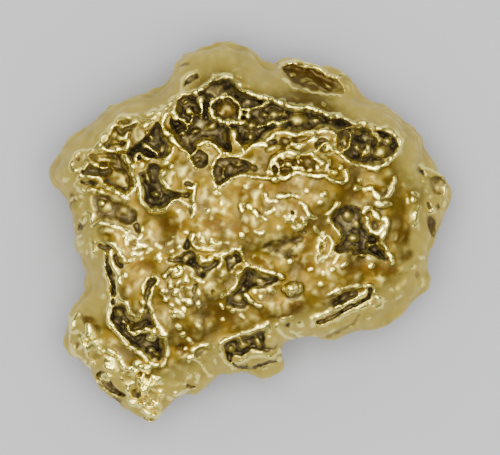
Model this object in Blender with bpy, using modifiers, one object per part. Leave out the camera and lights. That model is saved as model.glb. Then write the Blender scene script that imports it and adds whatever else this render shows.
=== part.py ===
"""A natural gold nugget, waterworn and pitted, lying on its flattest side.

The nugget is one solid. A sphere is drawn out to the nugget's outline and heights, its pits,
ridges and lumps are pressed in, and the skin is remeshed and thinned. The remesher can't work
finer than 0.1 mm in metres, so the shape is made at 1 unit = 1 mm and scaled at the end.

Places are in millimetres: x and y from the middle of the nugget, z up from the face it rests on.
"""

import math
import random

import bmesh
import bpy
import numpy as np
from mathutils import Vector, noise

MM = 0.001

# Driving dimensions, in millimetres
LENGTH = 10.05
WIDTH = 9.50
HEIGHT = 4.60
WAIST = 1.60  # height at which the nugget is widest
SHOULDER = 0.95  # how far in from the outline the top has risen to its full height
UNDERSIDE = 3.60  # how far in from the outline the underside is at its lowest
BELLY = 0.10  # how far the underside is pressed flat by the face it rests on
SKIN_CELL = 0.060  # cell of the remeshed skin
FACE_COUNT = 9400

GOLD = (0.83, 0.60, 0.20, 1.0)
GOLD_ROUGHNESS = 0.34

# The outline seen from above, clockwise from the west point
OUTLINE = [
    (-5.04, 1.55), (-4.76, 2.01), (-4.37, 2.41), (-3.99, 2.78), (-3.57, 3.08), (-3.08, 3.34),
    (-2.50, 3.53), (-2.08, 3.85), (-1.87, 4.27), (-1.37, 4.54), (-0.77, 4.73), (-0.36, 4.61),
    (0.05, 4.48), (0.24, 4.23), (0.55, 4.12), (0.86, 4.27), (1.25, 4.31), (1.75, 4.24),
    (2.23, 3.99), (2.66, 3.70), (2.78, 3.40), (3.26, 3.22), (3.74, 2.84), (4.20, 2.38),
    (4.29, 1.93), (4.60, 1.60), (4.87, 1.43), (5.02, 1.03), (4.89, 0.62), (4.64, 0.11),
    (4.51, -0.34), (4.36, -0.94), (4.39, -1.33), (4.10, -1.64), (3.76, -1.89), (3.26, -2.17),
    (2.76, -2.37), (2.18, -2.58), (1.46, -2.68), (0.91, -2.77), (0.75, -2.87), (0.81, -3.13),
    (0.50, -3.35), (0.02, -3.40), (-0.55, -3.40), (-0.84, -3.57), (-1.30, -3.90),
    (-1.85, -4.10), (-2.10, -4.32), (-2.31, -4.72), (-2.62, -4.77), (-3.13, -4.37),
    (-3.69, -3.93), (-3.99, -3.56), (-4.25, -3.25), (-4.53, -2.97), (-4.66, -2.32),
    (-4.51, -1.90), (-4.18, -1.60), (-4.04, -1.38), (-4.13, -0.92), (-4.46, -0.38),
    (-4.52, -0.03), (-4.69, 0.53), (-4.74, 0.95), (-5.00, 1.30),
]

# Heights of the top before its pits: x, y, z
TOP = [
    (-3.9, 1.7, 3.7), (-2.5, 2.6, 4.1), (-1.0, 3.5, 4.2), (0.5, 3.2, 4.3), (2.0, 2.8, 4.2),
    (3.5, 2.3, 3.9), (3.6, 1.0, 3.8), (3.3, 0.0, 3.8), (3.4, -0.8, 3.6), (1.5, 1.5, 4.5),
    (0.0, 0.5, 4.6), (-1.5, 1.3, 4.5), (-3.3, 0.5, 4.1), (-4.2, 0.9, 3.4), (-3.5, -0.5, 3.9),
    (-1.5, -1.2, 4.3), (0.5, -1.5, 4.1), (2.0, -1.0, 4.1), (-2.7, -1.5, 3.9),
    (-1.3, -2.4, 3.5), (0.2, -2.1, 3.7), (1.5, -2.2, 3.2), (3.0, -1.7, 3.2), (-2.6, -2.6, 3.4),
    (-4.3, -2.2, 2.8), (-3.7, -3.2, 2.9), (-2.9, -3.9, 2.9), (-2.4, -4.5, 2.5),
    (-1.6, -3.5, 2.9), (-0.1, -3.0, 2.6), (4.7, 1.1, 2.6), (4.3, 0.4, 2.9), (-0.8, 4.3, 2.8),
    (1.4, 3.9, 2.5), (2.5, 3.6, 2.4), (4.2, -0.6, 2.9), (3.9, -1.3, 2.8),
]
TOP_REACH = 0.62  # how far each of those heights is felt

# Pits: depth, width of the wall, outline
PITS = {
    "long north trough": (0.64, 0.10, [
        (-2.05, 2.72), (-2.00, 2.95), (-1.88, 3.22), (-1.66, 3.38), (-1.34, 3.45), (-1.05, 3.66),
        (-0.62, 3.82), (-0.40, 3.68), (-0.20, 3.44), (0.27, 3.29), (0.77, 3.15), (1.00, 3.05),
        (1.42, 3.02), (1.88, 2.87), (2.34, 2.76), (2.52, 2.64), (2.20, 2.52), (1.90, 2.62),
        (1.62, 2.58), (1.20, 2.50), (0.68, 2.54), (0.42, 2.46), (0.22, 2.26), (-0.08, 2.20),
        (-0.28, 2.22), (-0.42, 2.50), (-0.52, 2.40), (-0.50, 2.00), (-0.72, 2.08), (-0.95, 2.30),
        (-1.30, 2.24), (-1.44, 1.92), (-1.56, 2.00), (-1.80, 2.28), (-1.96, 2.48),
    ]),
    "east pocket": (0.59, 0.10, [
        (2.14, 2.45), (2.14, 2.18), (2.22, 1.98), (2.56, 1.78), (2.98, 1.66), (3.26, 1.72),
        (3.48, 1.90), (3.66, 2.12), (3.60, 2.38), (3.38, 2.50), (3.12, 2.52), (2.84, 2.60),
        (2.60, 2.62), (2.40, 2.60),
    ]),
    "north-west pocket": (0.29, 0.10, [
        (-3.80, 2.12), (-3.62, 2.32), (-3.52, 2.54), (-3.38, 2.70), (-3.25, 2.82), (-2.92, 2.80),
        (-2.80, 2.70), (-2.94, 2.52), (-2.98, 2.34), (-3.12, 2.16), (-3.50, 2.08),
    ]),
    "west centre trough": (0.51, 0.11, [
        (-2.94, 2.16), (-2.62, 2.42), (-2.34, 2.76), (-2.26, 2.62), (-2.18, 2.38), (-2.06, 2.22),
        (-2.06, 1.98), (-2.16, 1.82), (-2.36, 1.80), (-2.64, 1.80), (-2.92, 1.76), (-3.06, 1.84),
        (-3.14, 1.95),
    ]),
    "west pit": (0.39, 0.10, [
        (-4.22, 1.46), (-4.00, 1.40), (-3.72, 1.38), (-3.58, 1.24), (-3.36, 1.12), (-3.10, 0.96),
        (-2.98, 1.20), (-3.02, 1.48), (-3.14, 1.72), (-3.30, 1.94), (-3.60, 1.98), (-3.90, 1.97),
        (-4.08, 1.92), (-4.10, 1.70),
    ]),
    "west cove": (0.22, 0.07, [
        (-4.28, 1.34), (-4.26, 1.20), (-4.10, 1.14), (-3.90, 1.16), (-3.78, 1.24), (-3.96, 1.29),
        (-4.14, 1.28),
    ]),
    "low west hollow": (0.17, 0.16, [
        (-4.00, 0.72), (-3.94, 0.95), (-3.62, 0.98), (-3.30, 0.84), (-3.06, 0.70), (-2.86, 0.52),
        (-2.84, 0.22), (-3.06, 0.20), (-3.40, 0.30), (-3.85, 0.34),
    ]),
    "west crescent": (0.20, 0.08, [
        (-4.36, 0.04), (-4.34, 0.20), (-4.24, 0.34), (-4.12, 0.42), (-4.06, 0.32), (-4.12, 0.16),
        (-4.22, 0.04),
    ]),
    "stirrup pit": (0.59, 0.10, [
        (-2.90, 1.46), (-2.76, 1.30), (-2.70, 1.02), (-2.66, 0.80), (-2.52, 0.63), (-2.30, 0.60),
        (-2.12, 0.68), (-2.00, 0.80), (-1.76, 0.86), (-1.52, 0.84), (-1.52, 0.96), (-1.80, 1.00),
        (-2.04, 1.02), (-2.18, 1.16), (-2.26, 1.34), (-2.24, 1.52), (-2.30, 1.66), (-2.54, 1.70),
        (-2.62, 1.56),
    ]),
    "small pit by the stirrup": (0.30, 0.10, [
        (-1.46, 1.84), (-1.34, 2.00), (-1.12, 1.92), (-1.10, 1.70), (-1.22, 1.62), (-1.38, 1.68),
    ]),
    "left strip pit": (0.36, 0.10, [
        (-0.88, 1.68), (-0.92, 1.44), (-0.82, 1.22), (-0.60, 1.30), (-0.30, 1.46), (-0.06, 1.52),
        (0.14, 1.54), (0.12, 1.64), (-0.10, 1.76), (-0.38, 1.82), (-0.72, 1.83),
    ]),
    "right strip pit": (0.24, 0.12, [
        (0.46, 1.56), (0.56, 1.74), (0.76, 1.86), (1.16, 1.90), (1.48, 1.88), (1.62, 1.70),
        (1.60, 1.52), (1.20, 1.54), (0.86, 1.43), (0.55, 1.43),
    ]),
    "dark end of the upper strip": (0.26, 0.08, [
        (0.42, 2.18), (0.44, 2.28), (0.58, 2.33), (0.68, 2.25), (0.60, 2.17), (0.50, 2.14),
    ]),
    "upper strip pit": (0.19, 0.10, [
        (0.66, 2.12), (0.70, 2.34), (1.00, 2.37), (1.30, 2.36), (1.48, 2.34), (1.36, 2.20),
        (1.12, 2.10), (0.85, 2.06),
    ]),
    "strip end pit": (0.19, 0.08, [
        (1.55, 2.12), (1.62, 2.30), (1.82, 2.34), (1.95, 2.18), (1.90, 1.98), (1.72, 2.00),
    ]),
    "east dark pit": (0.59, 0.11, [
        (2.06, 0.48), (2.18, 0.63), (2.40, 0.70), (2.62, 0.68), (2.73, 0.56), (2.74, 0.40),
        (2.84, 0.14), (2.94, 0.00), (3.06, -0.06), (3.20, -0.16), (3.08, -0.24), (3.20, -0.36),
        (3.34, -0.50), (3.42, -0.72), (3.26, -0.72), (3.08, -0.60), (2.90, -0.52), (2.60, -0.56),
        (2.36, -0.50), (2.06, -0.46), (2.10, -0.30), (2.26, -0.16), (2.18, 0.04), (2.08, 0.20),
        (1.98, 0.36),
    ]),
    "east loop": (0.17, 0.07, [
        (2.98, 0.28), (3.10, 0.30), (3.18, 0.18), (3.14, 0.08), (3.04, 0.06), (2.98, 0.16),
    ]),
    "hook crescent": (0.24, 0.09, [
        (3.14, 1.02), (3.20, 0.94), (3.32, 0.93), (3.44, 1.02), (3.50, 1.18), (3.42, 1.14),
        (3.30, 1.04),
    ]),
    "middle hollow": (0.39, 0.10, [
        (-2.16, -0.66), (-1.96, -0.60), (-1.78, -0.56), (-1.58, -0.42), (-1.44, -0.50),
        (-1.34, -0.70), (-1.12, -0.77), (-1.00, -0.70), (-0.88, -0.64), (-0.79, -0.72),
        (-0.86, -0.84), (-1.06, -0.98), (-1.18, -1.14), (-1.34, -1.06), (-1.46, -0.88),
        (-1.66, -0.80), (-1.90, -0.76),
    ]),
    "middle slot": (0.32, 0.07, [
        (-1.56, 0.06), (-1.52, -0.04), (-1.52, -0.30), (-1.60, -0.42), (-1.72, -0.36),
        (-1.64, -0.16),
    ]),
    "hollow beside the knot": (0.27, 0.10, [
        (-0.66, -0.62), (-0.54, -0.55), (-0.38, -0.51), (-0.25, -0.60), (-0.22, -0.70),
        (-0.34, -0.76), (-0.44, -0.86), (-0.50, -0.99), (-0.62, -0.84),
    ]),
    "three-cornered pit": (0.44, 0.11, [
        (-0.12, -0.90), (-0.24, -1.10), (-0.30, -1.26), (-0.42, -1.42), (-0.62, -1.60),
        (-0.64, -1.78), (-0.40, -1.88), (-0.16, -1.86), (-0.06, -1.72), (-0.12, -1.54),
        (0.02, -1.40), (0.30, -1.40), (0.48, -1.32), (0.68, -1.20), (0.72, -1.11), (0.50, -1.05),
        (0.25, -0.99),
    ]),
    "soft middle hollow": (0.19, 0.20, [
        (0.22, -0.40), (0.42, -0.16), (0.78, -0.10), (1.24, -0.04), (1.34, -0.18), (1.12, -0.42),
        (1.18, -0.58), (1.03, -0.74), (0.86, -0.70), (0.62, -0.55), (0.46, -0.48),
    ]),
    "cup crescent": (0.20, 0.07, [
        (0.84, -1.52), (1.04, -1.58), (1.24, -1.50), (1.20, -1.62), (1.04, -1.68), (0.88, -1.62),
    ]),
    "leaf pit": (0.51, 0.10, [
        (-3.50, -1.92), (-3.42, -1.76), (-3.26, -1.78), (-3.12, -1.86), (-2.98, -2.06),
        (-2.80, -2.14), (-2.66, -1.98), (-2.60, -1.80), (-2.52, -1.96), (-2.42, -2.26),
        (-2.28, -2.48), (-2.20, -2.74), (-2.20, -3.06), (-2.30, -3.18), (-2.56, -3.06),
        (-2.80, -2.88), (-3.00, -2.74), (-3.18, -2.58), (-3.36, -2.32), (-3.50, -2.12),
    ]),
    "south pocket": (0.42, 0.09, [
        (-0.72, -2.80), (-0.64, -2.68), (-0.46, -2.63), (-0.24, -2.56), (0.02, -2.48),
        (0.36, -2.37), (0.36, -2.62), (0.40, -2.78), (0.54, -2.80), (0.66, -2.74), (0.58, -2.88),
        (0.40, -2.96), (0.19, -2.94), (0.01, -2.88), (-0.10, -2.98), (-0.26, -3.06), (-0.42, -3.04),
        (-0.50, -3.22), (-0.62, -3.16), (-0.68, -2.99),
    ]),
    "south-west small pit": (0.20, 0.06, [
        (-1.38, -3.08), (-1.35, -2.96), (-1.24, -2.89), (-1.12, -2.86), (-1.20, -2.97),
        (-1.30, -3.06),
    ]),
    "long south-east pit": (0.34, 0.09, [
        (1.83, -1.88), (1.97, -1.66), (2.19, -1.52), (2.44, -1.42), (2.66, -1.42), (2.58, -1.56),
        (2.30, -1.72), (2.02, -1.86),
    ]),
    "lobe pit": (0.36, 0.10, [
        (-3.90, -3.56), (-3.78, -3.38), (-3.62, -3.42), (-3.50, -3.60), (-3.32, -3.88),
        (-3.12, -3.98), (-3.22, -4.06), (-3.42, -4.00), (-3.66, -3.90), (-3.82, -3.76),
    ]),
    "lobe hole": (0.17, 0.08, [
        (-3.00, -3.86), (-2.86, -3.80), (-2.72, -3.94), (-2.82, -4.10), (-2.98, -4.06),
    ]),
    "west lobe hole": (0.15, 0.08, [
        (-4.46, -2.72), (-4.36, -2.64), (-4.28, -2.74), (-4.34, -2.90), (-4.44, -2.86),
    ]),
    "upper lobe hollow": (0.13, 0.13, [
        (-4.36, -2.05), (-4.20, -1.92), (-4.08, -2.12), (-4.18, -2.26),
    ]),
    "middle lobe hollow": (0.11, 0.14, [
        (-4.06, -2.26), (-3.88, -2.20), (-3.76, -2.38), (-3.90, -2.48),
    ]),
    "flake hollow": (0.34, 0.11, [
        (0.76, 4.10), (1.00, 4.15), (1.48, 4.08), (1.78, 3.92), (2.18, 3.74), (2.30, 3.52),
        (2.10, 3.44), (1.70, 3.50), (1.10, 3.60), (0.86, 3.80),
    ]),
    "east lump hollow": (0.20, 0.10, [
        (4.42, 1.36), (4.62, 1.44), (4.84, 1.34), (4.92, 1.12), (4.80, 0.92), (4.58, 0.92),
        (4.44, 1.10),
    ]),
    "east undercut": (0.12, 0.12, [
        (4.36, 0.46), (4.56, 0.44), (4.62, 0.22), (4.52, -0.08), (4.42, -0.04), (4.34, 0.20),
    ]),
    "north crescent": (0.19, 0.08, [
        (-1.70, 3.52), (-1.66, 3.72), (-1.50, 3.88), (-1.34, 3.92), (-1.30, 3.80), (-1.55, 3.62),
    ]),
}

# Cracks: depth, half width, centre line
CRACKS = {
    "west crack": (0.41, 0.085, [
        (-3.60, -0.50), (-3.58, -0.72), (-3.54, -0.90), (-3.46, -1.10), (-3.42, -1.32),
        (-3.43, -1.58), (-3.42, -1.72),
    ]),
    "head of the west crack": (0.29, 0.085, [(-3.78, -0.34), (-3.65, -0.39), (-3.53, -0.35)]),
    "side slot": (0.22, 0.070, [(-3.38, -0.58), (-3.32, -0.74), (-3.24, -0.82)]),
    "south-west slot": (0.34, 0.070, [
        (-2.44, -1.18), (-2.54, -1.30), (-2.60, -1.46), (-2.60, -1.66), (-2.60, -1.84),
    ]),
    "south-east crack": (0.36, 0.070, [
        (1.65, -2.22), (1.97, -2.09), (2.33, -1.88), (2.61, -1.74), (2.83, -1.63), (2.94, -1.48),
    ]),
    "groove under the south ledge": (0.22, 0.070, [
        (-0.46, -3.22), (-0.35, -3.30), (-0.06, -3.33), (0.19, -3.27), (0.40, -3.20), (0.66, -3.13),
    ]),
    "groove by the east lump": (0.21, 0.075, [(4.17, 1.58), (4.32, 1.43), (4.42, 1.34)]),
    "first slit": (0.22, 0.070, [(-1.40, -1.30), (-1.43, -1.52), (-1.41, -1.80)]),
    "west pit band": (0.17, 0.075, [(-4.20, 1.48), (-3.99, 1.50), (-3.74, 1.48), (-3.54, 1.52)]),
    "west pit foot": (0.14, 0.070, [(-3.67, 1.32), (-3.42, 1.20), (-3.18, 1.04)]),
}

# Raised lips and ridges: height over the ground, half width, line
RIDGES = {
    "north rim": (0.085, 0.055, [
        (-4.39, 1.51), (-4.49, 1.60), (-4.46, 1.82), (-4.39, 1.95), (-4.24, 2.00), (-4.05, 2.04),
        (-3.89, 2.10), (-3.77, 2.20), (-3.72, 2.32), (-3.64, 2.39), (-3.55, 2.57), (-3.43, 2.73),
        (-3.27, 2.88), (-3.05, 2.89), (-2.86, 2.90), (-2.74, 2.81), (-2.61, 2.79), (-2.39, 2.86),
        (-2.30, 2.98), (-2.14, 3.06), (-2.02, 3.20), (-1.88, 3.36), (-1.60, 3.47), (-1.34, 3.52),
        (-1.12, 3.64), (-0.90, 3.86), (-0.55, 3.88), (-0.34, 3.68), (-0.20, 3.50), (0.00, 3.41),
        (0.27, 3.36), (0.52, 3.27), (0.77, 3.22), (0.99, 3.11), (1.41, 3.09), (1.63, 3.02),
        (1.88, 2.93), (2.13, 2.90), (2.34, 2.82), (2.56, 2.71), (2.84, 2.68), (3.13, 2.59),
        (3.38, 2.58), (3.56, 2.46), (3.72, 2.31), (3.74, 2.14), (3.64, 1.97), (3.48, 1.81),
        (3.27, 1.65), (2.99, 1.57), (2.77, 1.63), (2.52, 1.70), (2.31, 1.81), (2.16, 1.95),
        (2.09, 2.16), (2.06, 2.45), (1.98, 2.52),
    ]),
    "north-west pocket lower rim": (0.070, 0.055, [
        (-3.86, 2.04), (-3.70, 2.04), (-3.49, 2.00), (-3.30, 2.03), (-3.11, 2.10), (-3.05, 2.20),
    ]),
    "west cove rim": (0.070, 0.055, [
        (-4.25, 1.39), (-4.33, 1.32), (-4.39, 1.22), (-4.33, 1.11), (-4.18, 1.01), (-4.00, 1.05),
        (-3.76, 1.03),
    ]),
    "west cove inner rim": (0.055, 0.045, [
        (-4.20, 1.36), (-3.99, 1.37), (-3.76, 1.34), (-3.68, 1.20),
    ]),
    "west rim": (0.060, 0.055, [
        (-3.66, 1.16), (-3.49, 1.07), (-3.33, 1.00), (-3.14, 0.86), (-3.04, 0.82),
    ]),
    "west pit shelf": (0.070, 0.055, [(-4.10, 1.76), (-3.86, 1.67), (-3.64, 1.61), (-3.50, 1.64)]),
    "ridge between the west pits": (0.075, 0.060, [
        (-3.10, 0.88), (-2.98, 0.98), (-2.90, 1.14), (-2.92, 1.32), (-2.99, 1.46), (-2.98, 1.62),
        (-3.06, 1.76), (-3.20, 1.90),
    ]),
    "slanting ridge head": (0.090, 0.065, [(-2.14, 2.90), (-2.20, 2.72), (-2.20, 2.56)]),
    "slanting ridge": (0.110, 0.065, [
        (-2.16, 2.48), (-2.02, 2.36), (-1.89, 2.20), (-1.77, 2.10), (-1.64, 1.98), (-1.55, 1.83),
        (-1.43, 1.64), (-1.33, 1.57),
    ]),
    "stirrup rim": (0.075, 0.052, [
        (-2.86, 1.32), (-2.80, 1.17), (-2.77, 0.95), (-2.74, 0.76), (-2.61, 0.61), (-2.52, 0.52),
        (-2.34, 0.50), (-2.17, 0.54), (-2.05, 0.67), (-1.96, 0.75), (-1.80, 0.79), (-1.68, 0.73),
        (-1.52, 0.64), (-1.45, 0.66),
    ]),
    "stirrup upright": (0.070, 0.055, [
        (-1.39, 1.20), (-1.44, 1.01), (-1.46, 0.79), (-1.44, 0.60), (-1.45, 0.42),
    ]),
    "stirrup inner rim": (0.060, 0.050, [
        (-2.20, 1.48), (-2.24, 1.32), (-2.17, 1.20), (-2.06, 1.10),
    ]),
    "strip left rim": (0.075, 0.052, [
        (-0.60, 1.97), (-0.73, 1.94), (-0.91, 1.77), (-1.00, 1.56), (-0.95, 1.34), (-0.90, 1.20),
        (-0.84, 1.12),
    ]),
    "scalloped rim": (0.085, 0.052, [
        (-0.88, 1.08), (-0.70, 1.20), (-0.55, 1.27), (-0.26, 1.41), (-0.01, 1.38), (0.34, 1.34),
        (0.63, 1.31), (0.88, 1.36), (1.13, 1.47), (1.41, 1.43), (1.66, 1.36), (1.81, 1.41),
        (1.92, 1.30), (2.14, 1.24), (2.34, 1.27), (2.42, 1.40), (2.34, 1.52),
    ]),
    "strip ridge": (0.070, 0.050, [
        (0.36, 2.16), (0.36, 2.28), (0.49, 2.38), (0.63, 2.46), (0.91, 2.45), (1.16, 2.41),
        (1.34, 2.45), (1.49, 2.49), (1.68, 2.50), (1.90, 2.54),
    ]),
    "ridge over the left strip": (0.070, 0.050, [
        (-0.66, 1.97), (-0.51, 1.88), (-0.26, 1.91), (-0.12, 2.02), (-0.05, 2.12), (0.13, 2.16),
        (0.31, 2.20),
    ]),
    "cup of the strip": (0.080, 0.050, [
        (0.38, 1.50), (0.43, 1.64), (0.53, 1.78), (0.70, 1.91), (0.91, 1.98), (1.16, 1.95),
        (1.41, 1.95), (1.60, 2.02), (1.72, 2.14), (1.86, 2.20),
    ]),
    "strip end ridge": (0.070, 0.055, [(1.48, 1.94), (1.60, 1.80), (1.77, 1.73)]),
    "trough end ridge": (0.120, 0.060, [
        (-0.48, 2.49), (-0.42, 2.33), (-0.34, 2.20), (-0.23, 2.08),
    ]),
    "hot ridge": (0.120, 0.080, [
        (-1.34, 2.12), (-1.16, 2.24), (-1.00, 2.22), (-0.86, 2.10), (-0.76, 1.96),
    ]),
    "trough left ridge": (0.140, 0.060, [(-1.26, 3.28), (-1.22, 3.06), (-1.27, 2.82)]),
    "trough far left ridge": (0.140, 0.060, [(-1.52, 3.06), (-1.48, 2.82), (-1.60, 2.60)]),
    "trough west ridge": (0.120, 0.055, [(-2.00, 2.98), (-1.86, 2.83), (-1.68, 2.76)]),
    "trough wire": (0.160, 0.045, [(-0.26, 3.02), (0.13, 3.04), (0.32, 3.14), (0.38, 3.24)]),
    "trough low wire": (0.140, 0.045, [
        (0.20, 2.58), (0.34, 2.66), (0.54, 2.74), (0.70, 2.66), (0.86, 2.74),
    ]),
    "bowl rim": (0.180, 0.060, [
        (-1.02, 3.04), (-0.96, 2.86), (-0.74, 2.74), (-0.44, 2.69), (-0.20, 2.71),
    ]),
    "upper bowl rim": (0.140, 0.050, [
        (-1.02, 3.04), (-0.96, 3.22), (-0.76, 3.33), (-0.52, 3.32), (-0.32, 3.18), (-0.28, 2.98),
        (-0.32, 2.80),
    ]),
    "pocket bar": (0.120, 0.055, [(-3.20, 2.60), (-3.02, 2.67), (-2.86, 2.74)]),
    "pocket low bar": (0.110, 0.055, [(-3.27, 2.32), (-3.16, 2.30), (-3.08, 2.48)]),
    "bar by the slanting ridge": (0.070, 0.050, [(-2.68, 2.60), (-2.56, 2.70), (-2.44, 2.76)]),
    "curls in the west trough": (0.120, 0.050, [
        (-2.88, 1.76), (-2.86, 1.90), (-2.76, 1.96), (-2.68, 1.86), (-2.60, 1.80), (-2.48, 1.82),
    ]),
    "second curl in the west trough": (0.120, 0.050, [(-2.64, 2.12), (-2.49, 2.03), (-2.33, 1.92)]),
    "east pocket left lump": (0.120, 0.045, [
        (2.24, 2.12), (2.32, 2.04), (2.42, 2.12), (2.46, 2.30), (2.44, 2.44),
    ]),
    "east pocket bar": (0.120, 0.055, [(3.02, 2.44), (3.12, 2.36), (3.17, 2.26)]),
    "east pocket post": (0.120, 0.060, [(2.88, 2.12), (2.84, 1.99), (2.77, 1.88)]),
    "hook rim": (0.080, 0.052, [
        (2.61, 1.12), (2.79, 1.09), (3.01, 1.06), (3.05, 0.95), (3.20, 0.87), (3.39, 0.89),
        (3.48, 1.00), (3.54, 1.12), (3.58, 1.32),
    ]),
    "east pit west rim": (0.080, 0.055, [
        (2.20, 0.74), (2.08, 0.64), (1.95, 0.48), (1.92, 0.36), (2.04, 0.20), (2.14, 0.04),
        (2.22, -0.08),
    ]),
    "east pit east rim": (0.085, 0.055, [
        (2.79, 0.48), (2.86, 0.61), (2.95, 0.60), (3.04, 0.48), (3.20, 0.34), (3.34, 0.32),
        (3.36, 0.14), (3.29, -0.05), (3.23, -0.22), (3.36, -0.38), (3.42, -0.55), (3.47, -0.70),
    ]),
    "east loop rim": (0.060, 0.042, [
        (2.90, 0.34), (2.90, 0.22), (2.96, 0.08), (3.05, 0.00), (3.18, 0.01), (3.26, 0.14),
    ]),
    "ring": (0.065, 0.045, [
        (1.70, -0.14), (1.80, -0.22), (1.84, -0.10), (1.98, -0.14), (2.01, -0.30), (1.93, -0.49),
        (1.86, -0.60),
    ]),
    "middle bar": (0.065, 0.050, [(0.66, 0.90), (0.90, 0.91), (1.12, 0.89)]),
    "middle right ridge": (0.065, 0.055, [
        (1.16, 0.73), (1.26, 0.70), (1.38, 0.57), (1.44, 0.45), (1.53, 0.37), (1.60, 0.36),
    ]),
    "spur under the strip": (0.060, 0.050, [(-0.90, 1.16), (-0.86, 1.05), (-0.78, 1.00)]),
    "slot ridge": (0.080, 0.055, [
        (-1.47, 0.01), (-1.48, -0.20), (-1.42, -0.36), (-1.28, -0.40), (-1.16, -0.41),
    ]),
    "middle ridge": (0.085, 0.055, [
        (-1.31, -0.58), (-1.25, -0.67), (-1.10, -0.68), (-1.00, -0.62), (-0.92, -0.55),
        (-0.78, -0.55), (-0.56, -0.50), (-0.44, -0.42), (-0.29, -0.43), (-0.21, -0.55),
        (-0.15, -0.66), (-0.09, -0.76), (0.09, -0.86), (0.31, -0.92), (0.53, -1.00), (0.81, -1.10),
    ]),
    "ridge down from the knot": (0.085, 0.055, [
        (-0.12, -0.80), (-0.25, -0.96), (-0.34, -1.06), (-0.35, -1.22), (-0.47, -1.36),
        (-0.56, -1.48), (-0.68, -1.54), (-0.73, -1.58),
    ]),
    "ridge under the middle hollow": (0.060, 0.050, [
        (-1.47, -1.08), (-1.33, -1.18), (-1.20, -1.22),
    ]),
    "pit ring curve": (0.090, 0.048, [
        (-0.14, -1.52), (-0.03, -1.66), (0.11, -1.77), (0.26, -1.79),
    ]),
    "knob top": (0.085, 0.055, [
        (0.82, -1.40), (0.90, -1.46), (1.04, -1.47), (1.18, -1.39), (1.22, -1.28),
    ]),
    "patch ridge": (0.080, 0.058, [
        (-2.13, -1.07), (-2.02, -0.92), (-1.86, -0.87), (-1.68, -0.87), (-1.82, -0.98),
        (-1.95, -1.06),
    ]),
    "crack hook": (0.075, 0.055, [
        (-3.94, -0.62), (-3.97, -0.46), (-3.97, -0.30), (-3.88, -0.23), (-3.70, -0.23),
        (-3.50, -0.26), (-3.36, -0.34), (-3.30, -0.48), (-3.20, -0.62), (-3.11, -0.74),
    ]),
    "crack west rim": (0.065, 0.048, [
        (-3.66, -0.50), (-3.66, -0.88), (-3.60, -1.18), (-3.54, -1.45), (-3.47, -1.60),
        (-3.54, -1.76), (-3.60, -1.93), (-3.58, -2.10), (-3.48, -2.28), (-3.34, -2.45),
        (-3.22, -2.66), (-2.99, -2.83), (-2.79, -2.97), (-2.58, -3.14), (-2.37, -3.27),
        (-2.20, -3.24), (-2.12, -3.08), (-2.12, -2.73), (-2.20, -2.49), (-2.35, -2.24),
        (-2.44, -1.97), (-2.53, -1.76), (-2.53, -1.58), (-2.45, -1.34), (-2.34, -1.20),
        (-2.38, -1.10), (-2.54, -1.10), (-2.70, -1.31), (-2.70, -1.48),
    ]),
    "crack east rim": (0.075, 0.055, [
        (-3.50, -0.44), (-3.48, -0.65), (-3.44, -0.89), (-3.34, -1.03), (-3.28, -1.16),
        (-3.33, -1.32), (-3.35, -1.48), (-3.36, -1.62), (-3.24, -1.69), (-3.10, -1.76),
        (-3.02, -1.90), (-2.92, -2.04), (-2.80, -2.04), (-2.72, -1.90), (-2.68, -1.72),
    ]),
    "leaf shelf": (0.200, 0.075, [
        (-3.12, -2.24), (-3.06, -2.38), (-2.94, -2.46), (-2.82, -2.46), (-2.68, -2.36),
        (-2.51, -2.38), (-2.38, -2.42),
    ]),
    "leaf spur": (0.090, 0.050, [(-2.58, -2.57), (-2.42, -2.56), (-2.33, -2.50), (-2.16, -2.52)]),
    "south pocket rim": (0.080, 0.050, [
        (-0.53, -3.27), (-0.67, -3.20), (-0.74, -3.06), (-0.80, -2.84), (-0.74, -2.70),
        (-0.56, -2.59), (-0.28, -2.51), (-0.03, -2.41), (0.26, -2.31), (0.40, -2.25), (0.47, -2.34),
        (0.44, -2.46),
    ]),
    "south ledge": (0.070, 0.055, [
        (-0.40, -3.20), (-0.18, -3.14), (0.00, -3.06), (0.20, -3.04), (0.36, -3.04), (0.58, -3.02),
        (0.69, -2.92),
    ]),
    "south-west pit rim": (0.065, 0.048, [
        (-1.12, -2.77), (-1.35, -2.81), (-1.46, -2.92), (-1.42, -3.09), (-1.24, -3.27),
        (-1.06, -3.48), (-0.96, -3.52),
    ]),
    "south notch rim": (0.070, 0.050, [
        (1.01, -2.06), (0.88, -2.09), (0.70, -2.20), (0.62, -2.31), (0.72, -2.45), (0.90, -2.58),
        (1.04, -2.63),
    ]),
    "south bar": (0.060, 0.042, [
        (0.97, -2.41), (1.10, -2.50), (1.20, -2.58), (1.44, -2.58), (1.64, -2.59),
    ]),
    "long south-east rim": (0.060, 0.048, [
        (1.90, -1.54), (2.15, -1.42), (2.36, -1.34), (2.60, -1.30), (2.80, -1.34), (2.85, -1.46),
        (2.72, -1.60),
    ]),
    "ridge between the south-east pits": (0.080, 0.052, [
        (1.51, -2.10), (1.69, -2.04), (1.86, -2.00), (2.15, -1.84), (2.44, -1.70), (2.70, -1.58),
    ]),
    "knob ring": (0.065, 0.048, [
        (3.12, -1.58), (3.22, -1.58), (3.29, -1.66), (3.24, -1.79), (3.10, -1.82), (2.96, -1.76),
    ]),
    "flake lip": (0.110, 0.055, [
        (0.72, 4.10), (0.84, 4.20), (1.10, 4.23), (1.40, 4.20), (1.66, 4.10), (1.86, 3.95),
        (2.08, 3.86), (2.30, 3.92),
    ]),
    "flake inner lip": (0.050, 0.050, [(0.80, 3.76), (1.10, 3.54), (1.70, 3.43), (2.24, 3.38)]),
    "lobe rim": (0.075, 0.052, [
        (-4.38, -2.00), (-4.45, -2.12), (-4.49, -2.26), (-4.56, -2.40), (-4.44, -2.46),
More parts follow.
